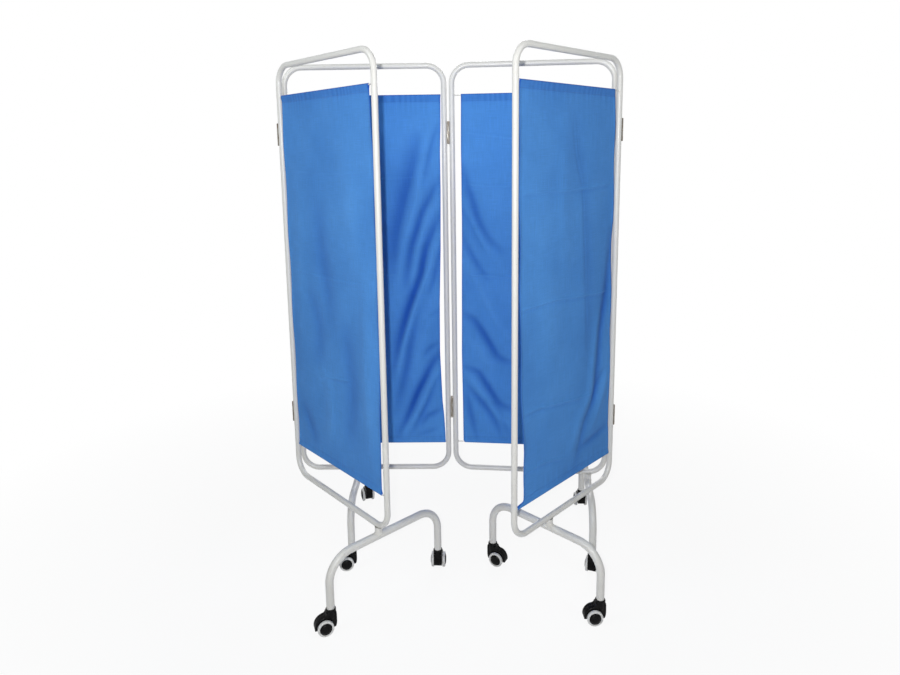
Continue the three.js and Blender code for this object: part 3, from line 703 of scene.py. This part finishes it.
# Folds of each cloth: the points of a curve in the panel's frame, its depth towards the side that is
# seen, and its half widths on both sides
FOLDS = {"panel1": [
    ([(342, 1290), (327, 1156), (310, 1058), (288, 961), (276, 860)], -3.2, 26, 34),
    ([(430, 1000), (373, 912), (355, 828), (376, 720)], -3.0, 24, 30),
    ([(329, 700), (302, 629), (303, 540), (334, 440)], 4.0, 26, 20),
    ([(494, 557), (439, 479), (402, 420)], -3.4, 16, 24),
    ([(77, 1100), (86, 738), (74, 577), (54, 430)], 4.0, 22, 30),
    ([(202, 900), (180, 748), (175, 647), (208, 480)], -3.0, 24, 34),
    ([(150, 1500), (140, 1250), (128, 1000)], 3.0, 40, 34),
    ([(440, 1450), (452, 1200), (470, 900), (480, 640)], 3.0, 34, 26),
], "panel2": [
    ([(448, 1500), (443, 1440), (421, 1353), (403, 1292), (386, 1223), (369, 1153), (360, 1083),
      (352, 990)], -7.0, 14, 26),
    ([(503, 1560), (495, 1510), (477, 1440), (456, 1353), (443, 1275), (421, 1205), (395, 1118),
      (377, 1031), (362, 940)], 5.0, 10, 10),
    ([(524, 1530), (499, 1466), (477, 1379), (462, 1310)], -4.0, 8, 8),
    ([(524, 1345), (486, 1275), (460, 1223), (443, 1170), (421, 1101), (408, 1031),
      (396, 960)], -7.5, 9, 12),
    ([(521, 1275), (490, 1231), (469, 1170), (447, 1101), (434, 1031), (420, 960)], 5.0, 9, 9),
    ([(526, 1225), (499, 1162), (477, 1110), (464, 1057), (453, 1000), (427, 930), (405, 870), (379, 783),
      (362, 713), (346, 620)], -10.5, 9, 15),
    ([(521, 1153), (503, 1101), (490, 1040), (462, 974), (431, 887), (401, 791), (375, 704),
      (352, 620)], 6.5, 8, 11),
    ([(525, 1118), (512, 1049), (500, 990), (480, 930)], -5.0, 8, 9),
    ([(452, 900), (430, 840), (408, 740), (392, 650), (366, 550), (352, 480)], -6.0, 14, 12),
    ([(512, 960), (490, 890), (468, 820), (440, 720), (425, 640)], 5.0, 16, 14),
    ([(518, 880), (501, 865), (470, 835), (450, 780)], -4.5, 7, 9),
    ([(520, 756), (479, 730), (448, 690)], -4.0, 7, 9),
    ([(524, 725), (505, 696), (483, 661), (462, 617), (436, 565), (414, 513), (392, 461),
      (358, 395)], -9.5, 9, 13),
    ([(518, 670), (498, 630), (470, 565), (436, 496), (401, 435), (380, 400)], 6.0, 9, 10),
    ([(520, 640), (496, 600), (462, 513), (427, 443), (405, 400)], -6.0, 8, 9),
    ([(520, 500), (501, 487), (470, 470), (445, 435)], -5.0, 7, 9),
    ([(508, 425), (470, 409), (427, 398)], -3.0, 6, 8),
    ([(250, 1560), (240, 1300), (225, 1000), (230, 700)], -3.5, 50, 45),
    ([(130, 1500), (120, 1200), (135, 900)], 3.0, 50, 50),
], "panel3": [
    ([(32, 1400), (39, 1370), (52, 1318), (70, 1266), (87, 1205), (113, 1153), (139, 1118),
      (180, 1080)], -5.5, 10, 12),
    ([(34, 1290), (60, 1215), (92, 1140), (128, 1080), (176, 1030)], 4.5, 9, 9),
    ([(36, 1240), (43, 1223), (70, 1170), (96, 1118), (122, 1083), (150, 1050)], -4.5, 7, 9),
    ([(36, 1150), (43, 1118), (70, 1066), (96, 1023), (125, 985)], -4.5, 8, 9),
    ([(36, 1070), (60, 1020), (95, 960), (130, 880), (170, 810), (205, 770)], 5.0, 11, 11),
    ([(34, 868), (43, 857), (74, 835), (104, 791), (130, 748), (161, 700), (215, 680)], -7.5, 10, 12),
    ([(40, 780), (80, 740), (115, 690), (150, 650)], 4.5, 12, 12),
    ([(34, 665), (52, 657), (87, 639), (113, 600), (139, 557), (165, 522), (220, 498)], -7.5, 10, 12),
    ([(44, 640), (80, 590), (120, 540), (160, 480), (200, 440)], 5.5, 9, 9),
    ([(40, 600), (52, 583), (87, 539), (122, 496), (152, 443), (170, 395)], -6.0, 9, 9),
    ([(36, 565), (43, 548), (61, 461), (80, 385)], -5.0, 9, 9),
    ([(100, 540), (140, 520), (175, 460), (200, 400)], -4.0, 9, 9),
    ([(250, 1480), (262, 1200), (250, 900), (262, 640)], 3.0, 40, 46),
    ([(420, 1450), (400, 1100), (430, 700)], 4.0, 50, 50),
], "panel4": [
    ([(264, 1570), (245, 1436), (201, 1311), (184, 1150), (171, 984), (158, 800),
      (150, 650)], -2.2, 12, 30),
    ([(23, 1180), (42, 998), (79, 829), (93, 708), (112, 605), (166, 532), (200, 454),
      (224, 385)], -8.0, 18, 15),
    ([(96, 900), (124, 740), (150, 620), (206, 540), (240, 450)], 6.0, 18, 30),
    ([(28, 800), (44, 660), (84, 560), (138, 480)], 5.0, 14, 16),
    ([(20, 478), (60, 468), (114, 457), (200, 446)], -4.4, 11, 11),
    ([(24, 712), (84, 652), (118, 580)], -3.0, 9, 11),
    ([(400, 1500), (410, 1250), (392, 1000), (380, 760)], 3.4, 44, 50),
    ([(300, 1540), (310, 1300), (290, 1040)], 3.0, 28, 30),
]}

# Pressed lines left from the folded cloth: the points of a curve, and its depth
CREASES = {"panel1": [
    ([(360, 686), (278, 699), (190, 712)], 1.0),
    ([(60, 1040), (300, 1034), (520, 1042)], 0.5),
    ([(60, 1378), (300, 1372), (520, 1380)], 0.5),
], "panel2": [
    ([(30, 1016), (180, 1010), (380, 1004)], 0.7),
    ([(30, 1350), (260, 1346), (500, 1352)], 0.5),
    ([(40, 668), (200, 664), (340, 668)], 0.6),
], "panel3": [
    ([(40, 1500), (98, 1491), (230, 1474)], 0.8),
    ([(34, 1330), (97, 1318), (260, 1316), (520, 1320)], 0.8),
    ([(36, 1008), (95, 1001), (210, 994), (360, 996), (525, 1000)], 1.5),
    ([(210, 664), (360, 660), (520, 664)], 0.7),
], "panel4": [
    ([(528, 1320), (427, 1318), (300, 1316), (161, 1320), (26, 1329)], 1.1),
    ([(528, 984), (447, 983), (371, 986), (291, 981), (177, 971), (26, 962)], 1.4),
    ([(514, 660), (417, 657), (310, 642), (194, 627), (110, 622)], 1.4),
    ([(496, 472), (387, 468), (270, 440)], 1.0),
    ([(262, 1560), (243, 1436), (200, 1311), (184, 1150), (171, 984), (158, 820)], 0.35),
]}

# Hem: its depth from the sleeve's outer side, its seam, the cloth round the rod, and half thicknesses
HEM, STITCH, ROUND_ROD = 26.0, 23.0, 4
SHEET_HALF, SLEEVE_CLOSED, SEAM_START, THINNEST = 0.45, 0.95, 2, 0.02
PINCH, PINCH_REACH = 0.4, 0.9
SIDE_HEM, SIDE_HEM_SHARE, RIM_REACH, RIM_SHARE = 7.9, 1.75, 0.1, 0.72

# Sheet's grid: rows near a rod, as depths from the sleeve's outer side, rows over the plain cloth and
# along a level crease, and columns from each side edge inwards
HEM_STEP = 0.05
HEM_ROWS = [0, 0.3, 1.2, 2.5, SLEEVE_RADIUS, 6, 8.5, 11, 14, 17, 20, 22, STITCH, 24]
HEM_ROWS += [HEM - HEM_STEP, HEM + HEM_STEP, 28]
PLAIN_START, PLAIN_ROWS, LEAST_STEP = 33, 205, 0.04
LEVEL_CREASE, CREASE_BAND, CREASE_STEP = 60, 14, 2.0
RIM_COLUMNS, RIM_WIDTH, COLUMNS = np.array([[0, 1.2, 3.0, 7.6, 8.2, 12]]), 15, 126

# Folds: the flat part at a fold's crest as a share of its width, how its ends die out, and creases
CREST_SHARE, END_SHARE, END_REACH, TAPER, STEEPNESS = 0.35, 0.03, 22, 0.7, 1.5
CREASE_SCALE, CREASE_REACH, CREASE_POWER, CREASE_END_SHARE = 1.8, 7, 1.3, 0.08
CREASE_BACK_SHARE, CREASE_BACK, CREASE_BACK_REACH = 0.35, 9, 6

# Depths, lengths and phases of the cloth's slow waves, of the puckers at both seams and of the side
# edges' curl
PANEL_PHASE, WAVE_PHASE, SWELL_PHASE, BEND_SHARE, PUCKER_SHARE = 7.3, 1.7, 2.1, 0.4, 2
WAVE, WAVE_X, WAVE_BEND, WAVE_Z = 1.1, 61, 260, 410
SWELL, SWELL_X, SWELL_Z = 0.5, 27, 350
PUCKER, PUCKER_REACH, LOWER_PUCKERS, UPPER_PUCKERS = 0.35, 26, (6.1, 41), (6.7, 37)
CURL, CURL_Z, CURL_X, CURL_REACH, CURL_HELD, FOLDS_HELD = 1.6, 47, 300, 16, 120, 80

# Painted shading: the relief that changes it fully, and the painted shade that the hems, their gathers, the
# cloth below them and the outermost edge add, the lower hem only a share of it
TONE_DEPTH, HEM_TONE, GATHER_TONE, BELOW_TONE, OUTLINE_TONE = 20.0, 0.08, 0.08, 0.07, 0.36
BELOW_REACH, OUTLINE_REACH, LOWER_HEM_SHARE = 30, 2.6, 0.25
HEM_EDGE_INSIDE, HEM_EDGE_OUTSIDE = 2, 1
GATHER_X, GATHER_BEND, GATHER_SLOW_X, GATHER_SLOW_Z = 3.3, 23, 71, 90

# Stitches: pitch, distance from the side edges, rise over the cloth's middle, outline in (X, Z) and crest
STITCH_PITCH, STITCH_INSET, STITCH_RISE, STITCH_LIFT, STITCH_CREST = 4.4, 4, 0.62, 0.38, 0.8
STITCH_OUTLINE = [(-1.5, 0), (-0.9, 0.4), (0.9, 0.4), (1.5, 0), (0.9, -0.4), (-0.9, -0.4)]
STITCH_FACES = [(0, 1, 6), (1, 2, 7, 6), (2, 3, 7), (3, 4, 7), (4, 5, 6, 7), (5, 0, 6), (5, 4, 3, 2, 1, 0)]


def smooth_line(points, steps=10):
    """A Catmull-Rom curve through the points."""
    pts = [np.array(p, float) for p in points]
    pts = [2 * pts[0] - pts[1]] + pts + [2 * pts[-1] - pts[-2]]
    line = []
    for a, b, c, d in zip(pts, pts[1:], pts[2:], pts[3:]):
        square, cube = 2 * a - 5 * b + 4 * c - d, 3 * b - a - 3 * c + d
        for i in range(steps):
            t = i / steps
            line.append(0.5 * (2 * b + (c - a) * t + square * t * t + cube * t ** 3))
    line.append(pts[-2])
    return np.array(line)


def along(points, x, z):
    """Signed distance from a curve, positive on its left, and the share of its length, for all points."""
    line = smooth_line(points)
    best = np.full(x.shape, np.inf)
    signed, share = np.zeros(x.shape), np.zeros(x.shape)
    lengths = np.linalg.norm(np.diff(line, axis=0), axis=1)
    done, total = 0.0, lengths.sum()
    for a, b, length in zip(line, line[1:], lengths):
        if length == 0:
            continue
        ux, uz = (b - a) / length
        t = np.clip((x - a[0]) * ux + (z - a[1]) * uz, 0, length)
        dx, dz = x - a[0] - ux * t, z - a[1] - uz * t
        dist = np.hypot(dx, dz)
        near = dist < best
        best = np.where(near, dist, best)
        signed = np.where(near, np.where(ux * dz - uz * dx >= 0, dist, -dist), signed)
        share = np.where(near, (done + t) / total, share)
        done += length
    return signed, share


def side_edges(name, z):
    """Places of the cloth's left and right edges at given heights."""
    left, right = (np.interp(z, *zip(*edge)) for edge in EDGES[name])
    return left, FRAME_WIDTH - right


def fold_relief(name, x, z):
    """The folds and pressed creases alone, towards the side that is seen."""
    relief = np.zeros(x.shape)
    for points, depth, left, right in FOLDS[name]:
        d, share = along(points, x, z)
        width = np.where(d > 0, left, right)
        taper = np.sin(np.pi * np.clip(share * (1 - 2 * END_SHARE) + END_SHARE, 0, 1)) ** TAPER
        taper = np.where((share <= 0) | (share >= 1), taper * np.exp(-(d / END_REACH) ** 2), taper)
        away = np.maximum(0, np.hypot(d / width, CREST_SHARE) - CREST_SHARE)
        relief += depth * taper * np.exp(-away ** STEEPNESS)
    for points, depth in CREASES[name]:
        d, share = along(points, x, z)
        ends = step(0, CREASE_END_SHARE, share) * (1 - step(1 - CREASE_END_SHARE, 1, share))
        line = np.maximum(0, 1 - np.abs(d) / CREASE_REACH) ** CREASE_POWER
        line -= CREASE_BACK_SHARE * np.exp(-((d - CREASE_BACK) / CREASE_BACK_REACH) ** 2)
        relief += depth * CREASE_SCALE * ends * line
    return relief


def puckers(x, from_hem, lengths, seed):
    """Small gathers beside a seam."""
    short, slow = lengths
    turns = x / short + np.sin(x / slow + seed) * PUCKER_SHARE
    return PUCKER * np.sin(turns) * np.exp(-(from_hem / PUCKER_REACH) ** 2)


def cloth_offset(name, x, z, low, high):
    """How far the cloth's middle lies towards the side that is seen."""
    seed = int(name[-1]) * PANEL_PHASE
    from_lower, from_upper = z - low - HEM, high - HEM - z
    wave = WAVE * np.sin(x / WAVE_X + seed + BEND_SHARE * np.sin(z / WAVE_BEND + seed))
    wave *= np.sin(z / WAVE_Z + seed * WAVE_PHASE)
    wave += SWELL * np.sin(x / SWELL_X + z / SWELL_Z + seed * SWELL_PHASE)
    held = step(0, FOLDS_HELD, from_lower) * step(0, FOLDS_HELD, from_upper)
    gathers = puckers(x, from_lower, LOWER_PUCKERS, seed) + puckers(x, from_upper, UPPER_PUCKERS, seed)
    free = (z > low + SLEEVE_RADIUS) * (z < high - SLEEVE_RADIUS)
    return (fold_relief(name, x, z) + wave) * held + gathers * free


def painted_hem_edge_shade(x, z, away, low, high):
    """Painted shade: how much darker the doubled hems, their gathers, the cloth below them and the
    outermost edge are painted.
    """
    from_rods = np.minimum(z - low, high - z)
    fine = np.sin(x / GATHER_X + 2 * np.sin(x / GATHER_BEND))
    gathers = 0.5 + 0.5 * fine * np.sin(x / GATHER_SLOW_X + z / GATHER_SLOW_Z)
    share = np.where(high - z < z - low, 1, LOWER_HEM_SHARE)
    in_hem = 1 - step(HEM - HEM_EDGE_INSIDE, HEM + HEM_EDGE_OUTSIDE, from_rods)
    hem = share * (HEM_TONE + GATHER_TONE * gathers) * in_hem
    below = BELOW_TONE * share * gathers * np.exp(-np.maximum(0, from_rods - HEM) / BELOW_REACH)
    outline = OUTLINE_TONE * np.exp(-(np.minimum(away, from_rods) / OUTLINE_REACH) ** 2)
    return hem + below + outline


def hem_half(d):
    """Half thickness at a distance from the sleeve's outer side: round at the rod, pinched at the seam."""
    inside = np.minimum(d, SLEEVE_RADIUS) - SLEEVE_RADIUS
    sleeve = np.sqrt(np.maximum(THINNEST ** 2, SLEEVE_RADIUS ** 2 - inside ** 2))
    closing = SLEEVE_RADIUS + (SLEEVE_CLOSED - SLEEVE_RADIUS) * step(SLEEVE_RADIUS, STITCH - SEAM_START, d)
    body = np.where(d < SLEEVE_RADIUS, sleeve, closing)
    body = body - PINCH * np.exp(-((d - STITCH) / PINCH_REACH) ** 2)
    return np.where(d > HEM, SHEET_HALF, body)


def half_thickness(z, away, low, high):
    """Half of the cloth's thickness, with its hems at both rods and its turned side edges."""
    half = np.maximum(hem_half(z - low), hem_half(high - z))
    side_hem = (away < SIDE_HEM) & (z > low + HEM) & (z < high - HEM)
    half = np.where(side_hem, SHEET_HALF * SIDE_HEM_SHARE, half)
    return half * np.where(away < RIM_REACH, RIM_SHARE, 1)


def curtain_rows(name, low, high):
    """Heights of the sheet's rows of points, closer in the hems and along the level creases."""
    rows = [low + d for d in HEM_ROWS] + [high - d for d in HEM_ROWS]
    rows += list(np.linspace(low + PLAIN_START, high - PLAIN_START, PLAIN_ROWS))
    for points, _ in CREASES[name]:
        if abs(points[0][1] - points[-1][1]) < LEVEL_CREASE:
            middle = sum(p[1] for p in points) / len(points)
            rows += list(np.arange(middle - CREASE_BAND, middle + CREASE_BAND + CREASE_STEP / 2, CREASE_STEP))
    rows = np.array(sorted(rows))
    return rows[np.concatenate([[True], np.diff(rows) > LEAST_STEP])]


def curtain_grid(name, low, high):
    """Places of the sheet's points, and its side edges at each row."""
    rows = curtain_rows(name, low, high)[:, None]
    left, right = side_edges(name, rows)
    inner = np.linspace(0, 1, COLUMNS)[1:-1][None, :]
    between = left + RIM_WIDTH + (right - left - 2 * RIM_WIDTH) * inner
    x = np.hstack([left + RIM_COLUMNS, between, right - RIM_COLUMNS[:, ::-1]])
    return x, np.broadcast_to(rows, x.shape), left, right


def sheet_faces(shape):
    """Quads of two grids that lie back to back, and of the rim between them."""
    index = np.arange(shape[0] * shape[1]).reshape(shape)
    a, b, c, d = index[:-1, :-1], index[:-1, 1:], index[1:, 1:], index[1:, :-1]
    front = np.stack([a, b, c, d], axis=-1).reshape(-1, 4)
    ring = np.concatenate([index[0, :-1], index[:-1, -1], index[-1, :0:-1], index[:0:-1, 0]])
    after = np.roll(ring, -1)
    rim = np.stack([after, ring, ring + index.size, after + index.size], axis=-1)
    return np.concatenate([front, front[:, ::-1] + index.size, rim])


def cloth_mesh(name, points, tones, faces):
    """The sheet's mesh, with its flat places as UVs and its painted shade and light as a point attribute."""
    mesh = bpy.data.meshes.new(f"{name}_curtain_cloth")
    mesh.from_pydata(points.tolist(), [], faces.tolist())
    layer = mesh.uv_layers.new(name="UVMap")
    loops = np.zeros(len(mesh.loops), int)
    mesh.loops.foreach_get("vertex_index", loops)
    flat = np.stack([points[loops, 0], points[loops, 2]], axis=-1) * MM
    layer.data.foreach_set("uv", flat.reshape(-1))
    mesh.attributes.new("painted_shading", "FLOAT", "POINT").data.foreach_set("value", tones)
    mesh.transform(PLACES[name] @ TO_METRES)
    mesh.shade_smooth()
    mesh.set_sharp_from_angle(angle=math.radians(SMOOTH_ANGLE))
    return mesh


def seam(threads, name, height, low, high):
    """One row of stitches on both sides of the cloth, each a short lens of thread."""
    left, right = (float(edge) for edge in side_edges(name, height))
    x = np.arange(left + STITCH_INSET, right - STITCH_INSET, STITCH_PITCH)
    y = cloth_offset(name, x, np.full(x.shape, height), low, high) * PANELS[name]["seen"]
    for px, py in zip(x, y):
        for sign in (-1, 1):
            centre = Vector((px, py + sign * STITCH_RISE, height))
            lift = Y * sign * STITCH_LIFT
            first = len(threads.points)
            threads.points += [centre + X * u + Z * v for u, v in STITCH_OUTLINE]
            threads.points += [centre + X * u + lift for u in (-STITCH_CREST, STITCH_CREST)]
            threads.faces += [tuple(first + i for i in face) for face in STITCH_FACES]


def curtain(name):
    """One hanging curtain as a closed thin sheet with a sleeve round each rod, and its stitching."""
    seen = PANELS[name]["seen"]
    low, high = bottom_rod(PANELS[name]) - SLEEVE_RADIUS, TOP_ROD + SLEEVE_RADIUS
    x, z, left, right = curtain_grid(name, low, high)
    away = np.minimum(x - left, right - x)
    half = half_thickness(z, away, low, high)
    curl = CURL * np.sin(z / CURL_Z + x / CURL_X) * np.exp(-away / CURL_REACH)
    curl *= step(0, CURL_HELD, z - low) * step(0, CURL_HELD, high - z)
    middle = (cloth_offset(name, x, z, low, high) + curl) * seen
    # The folds' relief, and the painted shade of the hems, their gathers and the edges
    relief, hem_edge_shade = fold_relief(name, x, z), painted_hem_edge_shade(x, z, away, low, high)
    sides, tones = [], []
    for sign in (-1, 1):
        sides.append(np.stack([x, middle + sign * half, z], axis=-1).reshape(-1, 3))
        # Painted shade and light for each side: lighter where the folds stand out towards that side, darker
        # where they lie back, less the painted shade of the hems and edges
        tones.append(np.clip(0.5 + sign * seen * relief / TONE_DEPTH - hem_edge_shade, 0, 1).reshape(-1))
    mesh = cloth_mesh(name, np.concatenate(sides), np.concatenate(tones), sheet_faces(x.shape))
    sheet = piece(f"{name}_curtain_cloth", mesh, CLOTH, name, None, [f"{name}_curtain"])

    threads = Shape()
    for height in (low + STITCH, high - STITCH):
        seam(threads, name, height, low, high)
    stitch_mesh = threads.mesh(f"{name}_stitches", PLACES[name])
    stitches = piece(f"{name}_curtain_stitches", stitch_mesh, THREAD, name)


# The whole screen

def panel_pieces(name, seed):
    """A panel's frame, foot, post, rods, curtain and casters."""
    panel, place = PANELS[name], PLACES[name]
    tubes = {"frame_tube": ("frame", frame_tube()), "foot_tube": ("foot_arch", foot_arch(panel)),
             "post_tube": ("foot_post", foot_post(panel, seed))}
    for part, (node, shape) in tubes.items():
        mesh = shape.mesh(f"{name}_{part}", place, SMOOTH_ANGLE)
        piece(f"{name}_{part}", mesh, PAINT, name, None, [f"{name}_{node}"])
    for rod, height in (("top_rod", TOP_ROD), ("bottom_rod", bottom_rod(panel))):
        mesh = rod_wire(height).mesh(f"{name}_{rod}_wire", place)
        piece(f"{name}_{rod}_wire", mesh, ROD, name, None, [f"{name}_{rod}"])
    curtain(name)
    for end in ("front", "back"):
        caster(name, end)


for index, name in enumerate(PANELS):
    panel_pieces(name, index * PANEL_SEED)

hang_leaves("panel2", "left", "pin", to_right=False, in_front=True)
hang_leaves("panel1", "left", "plain", to_right=True, in_front=True)
hang_leaves("panel2", "centre", "pin", to_right=True, in_front=False)
hang_leaves("panel3", "centre", "plain", to_right=False, in_front=False)
hang_leaves("panel3", "right", "pin", to_right=True, in_front=True)
hang_leaves("panel4", "right", "plain", to_right=False, in_front=True)


# Camera, light and floor

# Camera: its place in metres, its turns to the left, down and round its axis in degrees, and its lens
EYE = Vector((0.1437, -2.1433, 1.4394))
YAW, PITCH, ROLL = (math.radians(angle) for angle in (3.584, 9.425, -0.758))
LENS, SENSOR, SHIFT = 26.213, 36, -0.08611

ahead = Vector((-math.sin(YAW) * math.cos(PITCH), math.cos(YAW) * math.cos(PITCH), -math.sin(PITCH)))
upward = Vector((-math.sin(YAW) * math.sin(PITCH), math.cos(YAW) * math.sin(PITCH), math.cos(PITCH)))
aside = Vector((math.cos(YAW), math.sin(YAW), 0))
side_axis = aside * math.cos(ROLL) + upward * math.sin(ROLL)
up_axis = upward * math.cos(ROLL) - aside * math.sin(ROLL)

# Lamps: place, the place that each is turned to and size in metres, power in watts. The near lamp is
# small and beside the camera, for the stiles' narrow shadows, and the others are large and soft.
NEAR_LAMP_ASIDE, NEAR_LAMP_ABOVE = -0.08, 0.02
NEAR_LAMP = EYE + side_axis * NEAR_LAMP_ASIDE + up_axis * NEAR_LAMP_ABOVE
COOL = (0.86, 0.95, 1.0)
LAMPS = {
    "near_lamp": (NEAR_LAMP, dict(target=(0, 0, 2.0), size=0.045, power=27.5)),
    "high_soft_lamp": ((0.1, -1.6, 3.0), dict(target=(0, 0, 1.2), size=1.3, power=4)),
    "left_soft_lamp": ((-1.8, -1.1, 2.8), dict(target=(-0.38, -0.07, 1.4), size=0.9, power=16, colour=COOL)),
    "right_soft_lamp": ((1.8, -1.1, 2.8), dict(target=(0.39, -0.08, 1.4), size=0.9, power=10, colour=COOL)),
    "back_soft_lamp": ((0.2, 2.7, 2.3), dict(target=(0, 0, 0.8), size=1.6, power=34)),
    "low_soft_lamp": ((0.1, -2.3, 0.45), dict(target=(0, -0.2, 0.1), size=0.6, power=6)),
}
FILL_COLOUR, FILL_STRENGTH = (0.96, 0.98, 1.0, 1), 0.08

# Floor: radii of its rings, and the distances in metres over which it fades into the white behind
FLOOR_RADII, FLOOR_SIDES, FLOOR_FADE = (1, 1200, 2600, 4500), 96, (0.9, 2.2)


def look():
    """Puts the camera in its place."""
    axes = Matrix((side_axis, up_axis, -ahead)).transposed().to_4x4()
    data = bpy.data.cameras.new("camera")
    data.lens, data.sensor_width, data.shift_y = LENS, SENSOR, SHIFT
    camera = new_object("camera", data)
    camera.matrix_world = Matrix.Translation(EYE) @ axes
    bpy.context.scene.camera = camera


def lamp(name, place, target, size, power, colour=(1, 1, 1)):
    data = bpy.data.lights.new(name, "AREA")
    data.shape, data.size, data.energy, data.color = "DISK", size, power, colour
    obj = new_object(name, data)
    obj.rotation_euler = (Vector(target) - Vector(place)).to_track_quat("-Z", "Y").to_euler()
    obj.location = place


def studio_world():
    """White to be looked at, and a weak fill of light."""
    world = bpy.data.worlds.new("studio")
    bpy.context.scene.world = world
    world.use_nodes = True
    n = Nodes(world.node_tree)
    fill = n.add("Background", {"Color": FILL_COLOUR, "Strength": FILL_STRENGTH})
    white = n.add("Background", {"Color": (1, 1, 1, 1), "Strength": 1.0})
    both = n.add("MixShader", {0: n.seen_ray(), 1: fill.outputs[0], 2: white.outputs[0]})
    n.add("OutputWorld", {"Surface": both.outputs[0]})


def pale_floor():
    """A matt floor that shows the shadows and fades into white away from the screen."""
    material, n = new_material("pale_floor")
    where = n.own_place()
    reach = n.add("VectorMath", {0: where}, operation="LENGTH").outputs["Value"]
    far = n.span(reach, 0.9, 1.0, *FLOOR_FADE)
    grain = n.mix(n.noise(where, 140, 3), (0.88, 0.88, 0.88), (0.92, 0.92, 0.92))
    matt = n.add("BsdfDiffuse", {"Color": grain, "Roughness": 0.6})
    glow = n.add("Emission", {"Color": (1, 1, 1, 1), "Strength": 1.0})
    share = n.math("MULTIPLY", far, n.seen_ray())
    blend = n.add("MixShader", {0: share, 1: matt.outputs[0], 2: glow.outputs[0]})
    n.add("OutputMaterial", {"Surface": blend.outputs[0]})
    return material


def floor_disc():
    """A flat disc under the screen."""
    ring = [Vector((math.cos(t), math.sin(t), 0)) for t in circle(FLOOR_SIDES)]
    rings = [[point * radius for point in ring] for radius in FLOOR_RADII]
    mesh = Shape().grid(rings, caps=(True, False)).mesh("floor")
    mesh.materials.append(pale_floor())
    return new_object("floor", mesh)


look()
for name, (place, values) in LAMPS.items():
    lamp(name, place, **values)
studio_world()
floor = floor_disc()

bpy.context.scene.view_settings.view_transform = "Standard"
